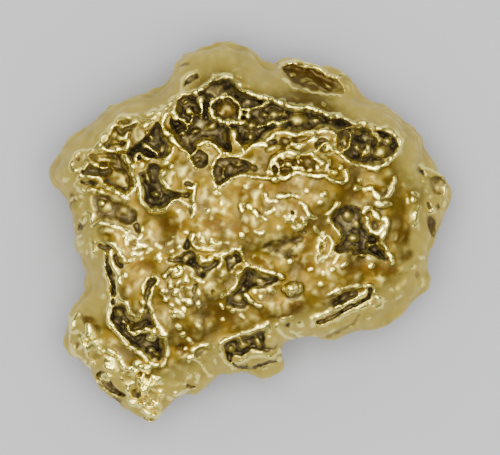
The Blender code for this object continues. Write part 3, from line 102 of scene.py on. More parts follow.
# Pits: depth, width of the wall, dirt stain and painted shade (0 clean gold, 1 dark), outline
PITS = {
    "long north trough": (0.64, 0.10, 0.90, [
        (-2.05, 2.72), (-2.00, 2.95), (-1.88, 3.22), (-1.66, 3.38), (-1.34, 3.45), (-1.05, 3.66),
        (-0.62, 3.82), (-0.40, 3.68), (-0.20, 3.44), (0.27, 3.29), (0.77, 3.15), (1.00, 3.05),
        (1.42, 3.02), (1.88, 2.87), (2.34, 2.76), (2.52, 2.64), (2.20, 2.52), (1.90, 2.62),
        (1.62, 2.58), (1.20, 2.50), (0.68, 2.54), (0.42, 2.46), (0.22, 2.26), (-0.08, 2.20),
        (-0.28, 2.22), (-0.42, 2.50), (-0.52, 2.40), (-0.50, 2.00), (-0.72, 2.08), (-0.95, 2.30),
        (-1.30, 2.24), (-1.44, 1.92), (-1.56, 2.00), (-1.80, 2.28), (-1.96, 2.48),
    ]),
    "east pocket": (0.59, 0.10, 0.95, [
        (2.14, 2.45), (2.14, 2.18), (2.22, 1.98), (2.56, 1.78), (2.98, 1.66), (3.26, 1.72),
        (3.48, 1.90), (3.66, 2.12), (3.60, 2.38), (3.38, 2.50), (3.12, 2.52), (2.84, 2.60),
        (2.60, 2.62), (2.40, 2.60),
    ]),
    "north-west pocket": (0.29, 0.10, 0.60, [
        (-3.80, 2.12), (-3.62, 2.32), (-3.52, 2.54), (-3.38, 2.70), (-3.25, 2.82), (-2.92, 2.80),
        (-2.80, 2.70), (-2.94, 2.52), (-2.98, 2.34), (-3.12, 2.16), (-3.50, 2.08),
    ]),
    "west centre trough": (0.51, 0.11, 0.95, [
        (-2.94, 2.16), (-2.62, 2.42), (-2.34, 2.76), (-2.26, 2.62), (-2.18, 2.38), (-2.06, 2.22),
        (-2.06, 1.98), (-2.16, 1.82), (-2.36, 1.80), (-2.64, 1.80), (-2.92, 1.76), (-3.06, 1.84),
        (-3.14, 1.95),
    ]),
    "west pit": (0.39, 0.10, 0.60, [
        (-4.22, 1.46), (-4.00, 1.40), (-3.72, 1.38), (-3.58, 1.24), (-3.36, 1.12), (-3.10, 0.96),
        (-2.98, 1.20), (-3.02, 1.48), (-3.14, 1.72), (-3.30, 1.94), (-3.60, 1.98), (-3.90, 1.97),
        (-4.08, 1.92), (-4.10, 1.70),
    ]),
    "west eye": (0.21, 0.07, 0.90, [(-4.40, 1.80), (-4.34, 1.91), (-4.24, 1.86), (-4.28, 1.74)]),
    "west cove": (0.22, 0.07, 0.85, [
        (-4.28, 1.34), (-4.26, 1.20), (-4.10, 1.14), (-3.90, 1.16), (-3.78, 1.24), (-3.96, 1.29),
        (-4.14, 1.28),
    ]),
    "low west hollow": (0.17, 0.16, 0.70, [
        (-4.00, 0.72), (-3.94, 0.95), (-3.62, 0.98), (-3.30, 0.84), (-3.06, 0.70), (-2.86, 0.52),
        (-2.84, 0.22), (-3.06, 0.20), (-3.40, 0.30), (-3.85, 0.34),
    ]),
    "hole by the low west hollow": (0.19, 0.07, 0.90, [
        (-2.94, 0.24), (-2.84, 0.24), (-2.78, 0.10), (-2.80, -0.02), (-2.86, 0.02),
    ]),
    "west crescent": (0.20, 0.08, 0.85, [
        (-4.36, 0.04), (-4.34, 0.20), (-4.24, 0.34), (-4.12, 0.42), (-4.06, 0.32), (-4.12, 0.16),
        (-4.22, 0.04),
    ]),
    "stirrup pit": (0.59, 0.10, 0.95, [
        (-2.90, 1.46), (-2.76, 1.30), (-2.70, 1.02), (-2.66, 0.80), (-2.52, 0.63), (-2.30, 0.60),
        (-2.12, 0.68), (-2.00, 0.80), (-1.76, 0.86), (-1.52, 0.84), (-1.52, 0.96), (-1.80, 1.00),
        (-2.04, 1.02), (-2.18, 1.16), (-2.26, 1.34), (-2.24, 1.52), (-2.30, 1.66), (-2.54, 1.70),
        (-2.62, 1.56),
    ]),
    "notch by the stirrup": (0.22, 0.07, 0.95, [
        (-1.70, 1.16), (-1.62, 1.24), (-1.46, 1.23), (-1.48, 1.14), (-1.60, 1.13),
    ]),
    "small pit by the stirrup": (0.30, 0.10, 0.85, [
        (-1.46, 1.84), (-1.34, 2.00), (-1.12, 1.92), (-1.10, 1.70), (-1.22, 1.62), (-1.38, 1.68),
    ]),
    "left strip pit": (0.36, 0.10, 0.90, [
        (-0.88, 1.68), (-0.92, 1.44), (-0.82, 1.22), (-0.60, 1.30), (-0.30, 1.46), (-0.06, 1.52),
        (0.14, 1.54), (0.12, 1.64), (-0.10, 1.76), (-0.38, 1.82), (-0.72, 1.83),
    ]),
    "right strip pit": (0.24, 0.12, 0.30, [
        (0.46, 1.56), (0.56, 1.74), (0.76, 1.86), (1.16, 1.90), (1.48, 1.88), (1.62, 1.70),
        (1.60, 1.52), (1.20, 1.54), (0.86, 1.43), (0.55, 1.43),
    ]),
    "ringed hole": (0.17, 0.06, 0.90, [(0.52, 1.58), (0.58, 1.69), (0.65, 1.58), (0.58, 1.49)]),
    "dark end of the upper strip": (0.26, 0.08, 0.90, [
        (0.42, 2.18), (0.44, 2.28), (0.58, 2.33), (0.68, 2.25), (0.60, 2.17), (0.50, 2.14),
    ]),
    "upper strip pit": (0.19, 0.10, 0.35, [
        (0.66, 2.12), (0.70, 2.34), (1.00, 2.37), (1.30, 2.36), (1.48, 2.34), (1.36, 2.20),
        (1.12, 2.10), (0.85, 2.06),
    ]),
    "strip end pit": (0.19, 0.08, 0.70, [
        (1.55, 2.12), (1.62, 2.30), (1.82, 2.34), (1.95, 2.18), (1.90, 1.98), (1.72, 2.00),
    ]),
    "east dark pit": (0.59, 0.11, 1.00, [
        (2.06, 0.48), (2.18, 0.63), (2.40, 0.70), (2.62, 0.68), (2.73, 0.56), (2.74, 0.40),
        (2.84, 0.14), (2.94, 0.00), (3.06, -0.06), (3.20, -0.16), (3.08, -0.24), (3.20, -0.36),
        (3.34, -0.50), (3.42, -0.72), (3.26, -0.72), (3.08, -0.60), (2.90, -0.52), (2.60, -0.56),
        (2.36, -0.50), (2.06, -0.46), (2.10, -0.30), (2.26, -0.16), (2.18, 0.04), (2.08, 0.20),
        (1.98, 0.36),
    ]),
    "east loop": (0.17, 0.07, 0.75, [
        (2.98, 0.28), (3.10, 0.30), (3.18, 0.18), (3.14, 0.08), (3.04, 0.06), (2.98, 0.16),
    ]),
    "brown spot over the east loop": (0.12, 0.08, 0.70, [
        (3.16, 0.60), (3.28, 0.60), (3.30, 0.50), (3.20, 0.48),
    ]),
    "hook crescent": (0.24, 0.09, 0.80, [
        (3.14, 1.02), (3.20, 0.94), (3.32, 0.93), (3.44, 1.02), (3.50, 1.18), (3.42, 1.14),
        (3.30, 1.04),
    ]),
    "middle hollow": (0.39, 0.10, 0.90, [
        (-2.16, -0.66), (-1.96, -0.60), (-1.78, -0.56), (-1.58, -0.42), (-1.44, -0.50),
        (-1.34, -0.70), (-1.12, -0.77), (-1.00, -0.70), (-0.88, -0.64), (-0.79, -0.72),
        (-0.86, -0.84), (-1.06, -0.98), (-1.18, -1.14), (-1.34, -1.06), (-1.46, -0.88),
        (-1.66, -0.80), (-1.90, -0.76),
    ]),
    "middle slot": (0.32, 0.07, 1.00, [
        (-1.56, 0.06), (-1.52, -0.04), (-1.52, -0.30), (-1.60, -0.42), (-1.72, -0.36),
        (-1.64, -0.16),
    ]),
    "hollow beside the knot": (0.27, 0.10, 0.90, [
        (-0.66, -0.62), (-0.54, -0.55), (-0.38, -0.51), (-0.25, -0.60), (-0.22, -0.70),
        (-0.34, -0.76), (-0.44, -0.86), (-0.50, -0.99), (-0.62, -0.84),
    ]),
    "three-cornered pit": (0.44, 0.11, 0.85, [
        (-0.12, -0.90), (-0.24, -1.10), (-0.30, -1.26), (-0.42, -1.42), (-0.62, -1.60),
        (-0.64, -1.78), (-0.40, -1.88), (-0.16, -1.86), (-0.06, -1.72), (-0.12, -1.54),
        (0.02, -1.40), (0.30, -1.40), (0.48, -1.32), (0.68, -1.20), (0.72, -1.11), (0.50, -1.05),
        (0.25, -0.99),
    ]),
    "soft middle hollow": (0.19, 0.20, 0.65, [
        (0.22, -0.40), (0.42, -0.16), (0.78, -0.10), (1.24, -0.04), (1.34, -0.18), (1.12, -0.42),
        (1.18, -0.58), (1.03, -0.74), (0.86, -0.70), (0.62, -0.55), (0.46, -0.48),
    ]),
    "cup crescent": (0.20, 0.07, 0.90, [
        (0.84, -1.52), (1.04, -1.58), (1.24, -1.50), (1.20, -1.62), (1.04, -1.68), (0.88, -1.62),
    ]),
    "mound hole": (0.12, 0.12, 0.55, [
        (-1.05, -1.40), (-0.96, -1.34), (-0.87, -1.42), (-0.94, -1.55), (-1.02, -1.52),
    ]),
    "soft south hollow": (0.10, 0.22, 0.50, [
        (-1.48, -1.92), (-1.10, -1.85), (-0.92, -2.02), (-1.10, -2.30), (-1.40, -2.20),
    ]),
    "orange south hollow": (0.12, 0.16, 0.45, [
        (-1.92, -2.78), (-1.72, -2.64), (-1.55, -2.85), (-1.72, -3.05),
    ]),
    "leaf pit": (0.51, 0.10, 0.95, [
        (-3.50, -1.92), (-3.42, -1.76), (-3.26, -1.78), (-3.12, -1.86), (-2.98, -2.06),
        (-2.80, -2.14), (-2.66, -1.98), (-2.60, -1.80), (-2.52, -1.96), (-2.42, -2.26),
        (-2.28, -2.48), (-2.20, -2.74), (-2.20, -3.06), (-2.30, -3.18), (-2.56, -3.06),
        (-2.80, -2.88), (-3.00, -2.74), (-3.18, -2.58), (-3.36, -2.32), (-3.50, -2.12),
    ]),
    "south pocket": (0.42, 0.09, 0.95, [
        (-0.72, -2.80), (-0.64, -2.68), (-0.46, -2.63), (-0.24, -2.56), (0.02, -2.48),
        (0.36, -2.37), (0.36, -2.62), (0.40, -2.78), (0.54, -2.80), (0.66, -2.74), (0.58, -2.88),
        (0.40, -2.96), (0.19, -2.94), (0.01, -2.88), (-0.10, -2.98), (-0.26, -3.06), (-0.42, -3.04),
        (-0.50, -3.22), (-0.62, -3.16), (-0.68, -2.99),
    ]),
    "south-west small pit": (0.20, 0.06, 0.95, [
        (-1.38, -3.08), (-1.35, -2.96), (-1.24, -2.89), (-1.12, -2.86), (-1.20, -2.97),
        (-1.30, -3.06),
    ]),
    "south notch": (0.19, 0.06, 0.95, [
        (0.76, -2.28), (0.86, -2.19), (0.95, -2.17), (0.96, -2.30), (0.88, -2.36),
    ]),
    "long south-east pit": (0.34, 0.09, 0.75, [
        (1.83, -1.88), (1.97, -1.66), (2.19, -1.52), (2.44, -1.42), (2.66, -1.42), (2.58, -1.56),
        (2.30, -1.72), (2.02, -1.86),
    ]),
    "lobe pit": (0.36, 0.10, 0.95, [
        (-3.90, -3.56), (-3.78, -3.38), (-3.62, -3.42), (-3.50, -3.60), (-3.32, -3.88),
        (-3.12, -3.98), (-3.22, -4.06), (-3.42, -4.00), (-3.66, -3.90), (-3.82, -3.76),
    ]),
    "lobe hole": (0.17, 0.08, 0.70, [
        (-3.00, -3.86), (-2.86, -3.80), (-2.72, -3.94), (-2.82, -4.10), (-2.98, -4.06),
    ]),
    "west lobe hole": (0.15, 0.08, 0.70, [
        (-4.46, -2.72), (-4.36, -2.64), (-4.28, -2.74), (-4.34, -2.90), (-4.44, -2.86),
    ]),
    "second lobe hole": (0.14, 0.07, 0.75, [
        (-4.12, -2.80), (-4.04, -2.74), (-3.98, -2.84), (-4.04, -2.92),
    ]),
    "upper lobe hollow": (0.13, 0.13, 0.60, [
        (-4.36, -2.05), (-4.20, -1.92), (-4.08, -2.12), (-4.18, -2.26),
    ]),
    "middle lobe hollow": (0.11, 0.14, 0.50, [
        (-4.06, -2.26), (-3.88, -2.20), (-3.76, -2.38), (-3.90, -2.48),
    ]),
    "flake hollow": (0.34, 0.11, 0.72, [
        (0.76, 4.10), (1.00, 4.15), (1.48, 4.08), (1.78, 3.92), (2.18, 3.74), (2.30, 3.52),
        (2.10, 3.44), (1.70, 3.50), (1.10, 3.60), (0.86, 3.80),
    ]),
    "east lump hollow": (0.20, 0.10, 0.75, [
        (4.42, 1.36), (4.62, 1.44), (4.84, 1.34), (4.92, 1.12), (4.80, 0.92), (4.58, 0.92),
        (4.44, 1.10),
    ]),
    "east hole": (0.14, 0.07, 0.80, [
        (4.60, 0.72), (4.68, 0.76), (4.72, 0.64), (4.66, 0.54), (4.58, 0.62),
    ]),
    "east undercut": (0.12, 0.12, 0.65, [
        (4.36, 0.46), (4.56, 0.44), (4.62, 0.22), (4.52, -0.08), (4.42, -0.04), (4.34, 0.20),
    ]),
    "brown corner": (0.09, 0.10, 0.60, [
        (4.06, -1.02), (4.16, -0.92), (4.22, -1.04), (4.14, -1.20), (4.08, -1.14),
    ]),
    "north crescent": (0.19, 0.08, 0.90, [
        (-1.70, 3.52), (-1.66, 3.72), (-1.50, 3.88), (-1.34, 3.92), (-1.30, 3.80), (-1.55, 3.62),
    ]),
    "top lump dimple": (0.09, 0.08, 0.70, [
        (-1.84, 4.08), (-1.72, 4.20), (-1.50, 4.20), (-1.62, 4.08),
    ]),
}

# Cracks: depth, half width, dirt stain and painted shade (darkest at the middle), centre line
CRACKS = {
    "west crack": (0.41, 0.085, 1.00, [
        (-3.60, -0.50), (-3.58, -0.72), (-3.54, -0.90), (-3.46, -1.10), (-3.42, -1.32),
        (-3.43, -1.58), (-3.42, -1.72),
    ]),
    "head of the west crack": (0.29, 0.085, 1.00, [(-3.78, -0.34), (-3.65, -0.39), (-3.53, -0.35)]),
    "side slot": (0.22, 0.060, 0.85, [(-3.38, -0.58), (-3.32, -0.74), (-3.24, -0.82)]),
    "south-west slot": (0.34, 0.070, 1.00, [
        (-2.44, -1.18), (-2.54, -1.30), (-2.60, -1.46), (-2.60, -1.66), (-2.60, -1.84),
    ]),
    "south-east crack": (0.36, 0.070, 1.00, [
        (1.65, -2.22), (1.97, -2.09), (2.33, -1.88), (2.61, -1.74), (2.83, -1.63), (2.94, -1.48),
    ]),
    "head of the south-east crack": (0.26, 0.085, 0.85, [(2.90, -1.58), (2.95, -1.40)]),
    "groove under the south ledge": (0.22, 0.055, 1.00, [
        (-0.46, -3.22), (-0.35, -3.30), (-0.06, -3.33), (0.19, -3.27), (0.40, -3.20), (0.66, -3.13),
    ]),
    "groove by the east lump": (0.21, 0.075, 0.80, [(4.17, 1.58), (4.32, 1.43), (4.42, 1.34)]),
    "groove on the east flank": (0.17, 0.050, 0.90, [(4.42, 0.72), (4.48, 0.52)]),
    "first slit": (0.22, 0.050, 1.00, [(-1.40, -1.30), (-1.43, -1.52), (-1.41, -1.80)]),
    "second slit": (0.15, 0.045, 0.90, [(-1.20, -1.70), (-1.20, -1.86)]),
    "west pit band": (0.17, 0.075, 1.00, [
        (-4.20, 1.48), (-3.99, 1.50), (-3.74, 1.48), (-3.54, 1.52),
    ]),
    "west pit foot": (0.14, 0.055, 1.00, [(-3.67, 1.32), (-3.42, 1.20), (-3.18, 1.04)]),
    "wedge in the north-west pocket": (0.14, 0.050, 1.00, [(-3.78, 2.14), (-3.55, 2.10)]),
    "slit on the lobe": (0.17, 0.050, 0.95, [(-2.66, -4.10), (-2.56, -4.20), (-2.48, -4.24)]),
    "slit at the tip": (0.14, 0.050, 0.95, [(-2.66, -4.58), (-2.52, -4.62)]),
    "slit at the south-west edge": (0.17, 0.055, 0.95, [(-1.62, -3.78), (-1.46, -3.80)]),
    "lower slit of the lobe": (0.14, 0.045, 0.90, [(-3.41, -4.05), (-3.27, -4.15)]),
    "groove on the south-east flank": (0.09, 0.060, 0.55, [
        (1.90, -2.56), (2.19, -2.41), (2.47, -2.27), (2.69, -2.02),
    ]),
    "dark dots": (0.12, 0.040, 1.00, [(1.02, 0.53), (1.04, 0.52)]),
    "second dot": (0.12, 0.040, 1.00, [(1.37, 0.36), (1.39, 0.35)]),
    "third dot": (0.12, 0.040, 1.00, [(0.18, 0.50), (0.20, 0.49)]),
    "fourth dot": (0.12, 0.045, 1.00, [(1.29, 0.01), (1.32, 0.00)]),
    "fifth dot": (0.12, 0.040, 1.00, [(-1.53, 0.51), (-1.52, 0.50)]),
    "left ring hole": (0.12, 0.038, 1.00, [(1.89, -0.18), (1.90, -0.17)]),
    "low ring hole": (0.12, 0.038, 1.00, [(1.76, -0.33), (1.77, -0.33)]),
    "hole in the south bar": (0.14, 0.045, 0.95, [(1.02, -2.47), (1.14, -2.56)]),
    "west edge hole": (0.10, 0.040, 0.90, [(-2.45, -1.24), (-2.46, -1.23)]),
}

# Ridges: lip above the ground, half width, line; their crests are rubbed gold with a painted
# highlight
RIDGES = {
    "north rim": (0.085, 0.045, [
        (-4.39, 1.51), (-4.49, 1.60), (-4.46, 1.82), (-4.39, 1.95), (-4.24, 2.00), (-4.05, 2.04),
        (-3.89, 2.10), (-3.77, 2.20), (-3.72, 2.32), (-3.64, 2.39), (-3.55, 2.57), (-3.43, 2.73),
        (-3.27, 2.88), (-3.05, 2.89), (-2.86, 2.90), (-2.74, 2.81), (-2.61, 2.79), (-2.39, 2.86),
        (-2.30, 2.98), (-2.14, 3.06), (-2.02, 3.20), (-1.88, 3.36), (-1.60, 3.47), (-1.34, 3.52),
        (-1.12, 3.64), (-0.90, 3.86), (-0.55, 3.88), (-0.34, 3.68), (-0.20, 3.50), (0.00, 3.41),
        (0.27, 3.36), (0.52, 3.27), (0.77, 3.22), (0.99, 3.11), (1.41, 3.09), (1.63, 3.02),
        (1.88, 2.93), (2.13, 2.90), (2.34, 2.82), (2.56, 2.71), (2.84, 2.68), (3.13, 2.59),
        (3.38, 2.58), (3.56, 2.46), (3.72, 2.31), (3.74, 2.14), (3.64, 1.97), (3.48, 1.81),
        (3.27, 1.65), (2.99, 1.57), (2.77, 1.63), (2.52, 1.70), (2.31, 1.81), (2.16, 1.95),
        (2.09, 2.16), (2.06, 2.45), (1.98, 2.52),
    ]),
    "north crescent rim": (0.050, 0.037, [
        (-1.76, 3.48), (-1.72, 3.72), (-1.55, 3.92), (-1.32, 3.99),
    ]),
    "north-west pocket lower rim": (0.070, 0.045, [
        (-3.86, 2.04), (-3.70, 2.04), (-3.49, 2.00), (-3.30, 2.03), (-3.11, 2.10), (-3.05, 2.20),
    ]),
    "west cove rim": (0.070, 0.045, [
        (-4.25, 1.39), (-4.33, 1.32), (-4.39, 1.22), (-4.33, 1.11), (-4.18, 1.01), (-4.00, 1.05),
        (-3.76, 1.03),
    ]),
    "west cove inner rim": (0.055, 0.037, [
        (-4.20, 1.36), (-3.99, 1.37), (-3.76, 1.34), (-3.68, 1.20),
    ]),
    "west rim": (0.060, 0.045, [
        (-3.66, 1.16), (-3.49, 1.07), (-3.33, 1.00), (-3.14, 0.86), (-3.04, 0.82),
    ]),
    "west pit shelf": (0.070, 0.045, [(-4.10, 1.76), (-3.86, 1.67), (-3.64, 1.61), (-3.50, 1.64)]),
    "west eye ring": (0.045, 0.034, [(-4.24, 1.66), (-4.15, 1.78), (-4.18, 1.93)]),
    "ridge between the west pits": (0.075, 0.049, [
        (-3.10, 0.88), (-2.98, 0.98), (-2.90, 1.14), (-2.92, 1.32), (-2.99, 1.46), (-2.98, 1.62),
        (-3.06, 1.76), (-3.20, 1.90),
    ]),
    "slanting ridge head": (0.090, 0.053, [(-2.14, 2.90), (-2.20, 2.72), (-2.20, 2.56)]),
    "slanting ridge": (0.110, 0.053, [
        (-2.16, 2.48), (-2.02, 2.36), (-1.89, 2.20), (-1.77, 2.10), (-1.64, 1.98), (-1.55, 1.83),
        (-1.43, 1.64), (-1.33, 1.57),
    ]),
    "stirrup rim": (0.075, 0.043, [
        (-2.86, 1.32), (-2.80, 1.17), (-2.77, 0.95), (-2.74, 0.76), (-2.61, 0.61), (-2.52, 0.52),
        (-2.34, 0.50), (-2.17, 0.54), (-2.05, 0.67), (-1.96, 0.75), (-1.80, 0.79), (-1.68, 0.73),
        (-1.52, 0.64), (-1.45, 0.66),
    ]),
    "stirrup upright": (0.070, 0.045, [
        (-1.39, 1.20), (-1.44, 1.01), (-1.46, 0.79), (-1.44, 0.60), (-1.45, 0.42),
    ]),
    "stirrup inner rim": (0.060, 0.041, [
        (-2.20, 1.48), (-2.24, 1.32), (-2.17, 1.20), (-2.06, 1.10),
    ]),
    "strip left rim": (0.075, 0.043, [
        (-0.60, 1.97), (-0.73, 1.94), (-0.91, 1.77), (-1.00, 1.56), (-0.95, 1.34), (-0.90, 1.20),
        (-0.84, 1.12),
    ]),
    "scalloped rim": (0.085, 0.043, [
        (-0.88, 1.08), (-0.70, 1.20), (-0.55, 1.27), (-0.26, 1.41), (-0.01, 1.38), (0.34, 1.34),
        (0.63, 1.31), (0.88, 1.36), (1.13, 1.47), (1.41, 1.43), (1.66, 1.36), (1.81, 1.41),
        (1.92, 1.30), (2.14, 1.24), (2.34, 1.27), (2.42, 1.40), (2.34, 1.52),
    ]),
    "strip ridge": (0.070, 0.041, [
        (0.36, 2.16), (0.36, 2.28), (0.49, 2.38), (0.63, 2.46), (0.91, 2.45), (1.16, 2.41),
        (1.34, 2.45), (1.49, 2.49), (1.68, 2.50), (1.90, 2.54),
    ]),
    "ridge over the left strip": (0.070, 0.041, [
        (-0.66, 1.97), (-0.51, 1.88), (-0.26, 1.91), (-0.12, 2.02), (-0.05, 2.12), (0.13, 2.16),
        (0.31, 2.20),
    ]),
    "cup of the strip": (0.080, 0.041, [
        (0.38, 1.50), (0.43, 1.64), (0.53, 1.78), (0.70, 1.91), (0.91, 1.98), (1.16, 1.95),
        (1.41, 1.95), (1.60, 2.02), (1.72, 2.14), (1.86, 2.20),
    ]),
    "strip bridge": (0.055, 0.041, [(1.02, 2.18), (1.24, 2.16), (1.41, 2.24), (1.56, 2.38)]),
    "strip end ridge": (0.070, 0.045, [(1.48, 1.94), (1.60, 1.80), (1.77, 1.73)]),
    "ring of the ringed hole": (0.045, 0.033, [
        (0.50, 1.46), (0.46, 1.58), (0.54, 1.72), (0.66, 1.68), (0.70, 1.56), (0.64, 1.46),
    ]),
    "trough end ridge": (0.120, 0.049, [
        (-0.48, 2.49), (-0.42, 2.33), (-0.34, 2.20), (-0.23, 2.08),
    ]),
    "hot ridge": (0.120, 0.066, [
        (-1.34, 2.12), (-1.16, 2.24), (-1.00, 2.22), (-0.86, 2.10), (-0.76, 1.96),
    ]),
    "trough left ridge": (0.140, 0.049, [(-1.26, 3.28), (-1.22, 3.06), (-1.27, 2.82)]),
    "trough far left ridge": (0.140, 0.049, [(-1.52, 3.06), (-1.48, 2.82), (-1.60, 2.60)]),
    "trough west ridge": (0.120, 0.045, [(-2.00, 2.98), (-1.86, 2.83), (-1.68, 2.76)]),
    "trough wire": (0.160, 0.037, [(-0.26, 3.02), (0.13, 3.04), (0.32, 3.14), (0.38, 3.24)]),
    "trough low wire": (0.140, 0.037, [
        (0.20, 2.58), (0.34, 2.66), (0.54, 2.74), (0.70, 2.66), (0.86, 2.74),
    ]),
    "bowl rim": (0.180, 0.049, [
        (-1.02, 3.04), (-0.96, 2.86), (-0.74, 2.74), (-0.44, 2.69), (-0.20, 2.71),
    ]),
    "upper bowl rim": (0.140, 0.041, [
        (-1.02, 3.04), (-0.96, 3.22), (-0.76, 3.33), (-0.52, 3.32), (-0.32, 3.18), (-0.28, 2.98),
        (-0.32, 2.80),
    ]),
    "pocket bar": (0.120, 0.045, [(-3.20, 2.60), (-3.02, 2.67), (-2.86, 2.74)]),
    "pocket low bar": (0.110, 0.045, [(-3.27, 2.32), (-3.16, 2.30), (-3.08, 2.48)]),
    "bar by the slanting ridge": (0.070, 0.041, [(-2.68, 2.60), (-2.56, 2.70), (-2.44, 2.76)]),
    "curls in the west trough": (0.120, 0.041, [
        (-2.88, 1.76), (-2.86, 1.90), (-2.76, 1.96), (-2.68, 1.86), (-2.60, 1.80), (-2.48, 1.82),
    ]),
    "second curl in the west trough": (0.120, 0.041, [(-2.64, 2.12), (-2.49, 2.03), (-2.33, 1.92)]),
    "third curl in the west trough": (0.090, 0.041, [(-2.12, 1.82), (-2.00, 1.94), (-1.95, 2.06)]),
    "bar over the rim": (0.060, 0.049, [(-2.55, 2.97), (-2.36, 3.06)]),
    "east pocket left lump": (0.120, 0.037, [
        (2.24, 2.12), (2.32, 2.04), (2.42, 2.12), (2.46, 2.30), (2.44, 2.44),
    ]),
    "east pocket bar": (0.120, 0.045, [(3.02, 2.44), (3.12, 2.36), (3.17, 2.26)]),
    "east pocket post": (0.120, 0.049, [(2.88, 2.12), (2.84, 1.99), (2.77, 1.88)]),
    "hook rim": (0.080, 0.043, [
        (2.61, 1.12), (2.79, 1.09), (3.01, 1.06), (3.05, 0.95), (3.20, 0.87), (3.39, 0.89),
        (3.48, 1.00), (3.54, 1.12), (3.58, 1.32),
    ]),
    "under the hook": (0.055, 0.037, [(3.14, 0.74), (3.23, 0.66), (3.36, 0.70), (3.45, 0.68)]),
    "east pit west rim": (0.080, 0.045, [
        (2.20, 0.74), (2.08, 0.64), (1.95, 0.48), (1.92, 0.36), (2.04, 0.20), (2.14, 0.04),
        (2.22, -0.08),
    ]),
    "east pit east rim": (0.085, 0.045, [
        (2.79, 0.48), (2.86, 0.61), (2.95, 0.60), (3.04, 0.48), (3.20, 0.34), (3.34, 0.32),
        (3.36, 0.14), (3.29, -0.05), (3.23, -0.22), (3.36, -0.38), (3.42, -0.55), (3.47, -0.70),
    ]),
    "east loop rim": (0.060, 0.034, [
        (2.90, 0.34), (2.90, 0.22), (2.96, 0.08), (3.05, 0.00), (3.18, 0.01), (3.26, 0.14),
    ]),
    "ring": (0.065, 0.037, [
        (1.70, -0.14), (1.80, -0.22), (1.84, -0.10), (1.98, -0.14), (2.01, -0.30), (1.93, -0.49),
        (1.86, -0.60),
    ]),
    "ring left side": (0.050, 0.034, [(1.70, -0.14), (1.66, -0.36), (1.66, -0.58)]),
    "middle bar": (0.065, 0.041, [(0.66, 0.90), (0.90, 0.91), (1.12, 0.89)]),
    "middle curl": (0.055, 0.034, [(0.34, 0.93), (0.38, 0.80), (0.46, 0.75), (0.60, 0.79)]),
    "middle right ridge": (0.065, 0.045, [
        (1.16, 0.73), (1.26, 0.70), (1.38, 0.57), (1.44, 0.45), (1.53, 0.37), (1.60, 0.36),
    ]),
    "middle row": (0.055, 0.034, [(0.08, 0.53), (0.22, 0.42), (0.31, 0.39), (0.41, 0.29)]),
    "small middle ridge": (0.055, 0.037, [(0.09, 0.04), (0.20, -0.02), (0.31, 0.00)]),
    "short middle ridge": (0.045, 0.033, [(0.41, 0.48), (0.56, 0.56)]),
    "upper middle curl": (0.055, 0.034, [(-0.31, 0.70), (-0.25, 0.58)]),
    "upper middle bar": (0.055, 0.034, [(-0.19, 0.73), (-0.10, 0.66), (0.00, 0.59)]),
    "short ridge by the upright": (0.050, 0.034, [(-1.61, 1.08), (-1.48, 1.07)]),
    "spur under the strip": (0.060, 0.041, [(-0.90, 1.16), (-0.86, 1.05), (-0.78, 1.00)]),
    "slot ridge": (0.080, 0.045, [
        (-1.47, 0.01), (-1.48, -0.20), (-1.42, -0.36), (-1.28, -0.40), (-1.16, -0.41),
    ]),
    "broken middle ridge": (0.060, 0.037, [(-1.16, -0.41), (-0.94, -0.44)]),
    "middle speckle ridge": (0.050, 0.034, [(-1.00, -0.24), (-0.78, -0.33)]),
    "middle ridge": (0.085, 0.045, [
        (-1.31, -0.58), (-1.25, -0.67), (-1.10, -0.68), (-1.00, -0.62), (-0.92, -0.55),
        (-0.78, -0.55), (-0.56, -0.50), (-0.44, -0.42), (-0.29, -0.43), (-0.21, -0.55),
        (-0.15, -0.66), (-0.09, -0.76), (0.09, -0.86), (0.31, -0.92), (0.53, -1.00), (0.81, -1.10),
    ]),
    "stem beside the knot": (0.060, 0.041, [(-0.76, -0.56), (-0.74, -0.74), (-0.84, -0.86)]),
    "ridge down from the knot": (0.085, 0.045, [
        (-0.12, -0.80), (-0.25, -0.96), (-0.34, -1.06), (-0.35, -1.22), (-0.47, -1.36),
        (-0.56, -1.48), (-0.68, -1.54), (-0.73, -1.58),
    ]),
    "ridge under the middle hollow": (0.060, 0.041, [
        (-1.47, -1.08), (-1.33, -1.18), (-1.20, -1.22),
    ]),
    "foot of the down ridge": (0.055, 0.041, [(-0.76, -1.76), (-0.69, -1.84)]),
    "pit ring curve": (0.090, 0.039, [
        (-0.14, -1.52), (-0.03, -1.66), (0.11, -1.77), (0.26, -1.79),
    ]),
    "knob top": (0.085, 0.045, [
        (0.82, -1.40), (0.90, -1.46), (1.04, -1.47), (1.18, -1.39), (1.22, -1.28),
    ]),
    "patch ridge": (0.080, 0.048, [
        (-2.13, -1.07), (-2.02, -0.92), (-1.86, -0.87), (-1.68, -0.87), (-1.82, -0.98),
        (-1.95, -1.06),
    ]),
    "crack hook": (0.075, 0.045, [
        (-3.94, -0.62), (-3.97, -0.46), (-3.97, -0.30), (-3.88, -0.23), (-3.70, -0.23),
        (-3.50, -0.26), (-3.36, -0.34), (-3.30, -0.48), (-3.20, -0.62), (-3.11, -0.74),
    ]),
    "crack west rim": (0.065, 0.039, [
        (-3.66, -0.50), (-3.66, -0.88), (-3.60, -1.18), (-3.54, -1.45), (-3.47, -1.60),
        (-3.54, -1.76), (-3.60, -1.93), (-3.58, -2.10), (-3.48, -2.28), (-3.34, -2.45),
        (-3.22, -2.66), (-2.99, -2.83), (-2.79, -2.97), (-2.58, -3.14), (-2.37, -3.27),
        (-2.20, -3.24), (-2.12, -3.08), (-2.12, -2.73), (-2.20, -2.49), (-2.35, -2.24),
        (-2.44, -1.97), (-2.53, -1.76), (-2.53, -1.58), (-2.45, -1.34), (-2.34, -1.20),
        (-2.38, -1.10), (-2.54, -1.10), (-2.70, -1.31), (-2.70, -1.48),
    ]),
    "crack east rim": (0.075, 0.045, [
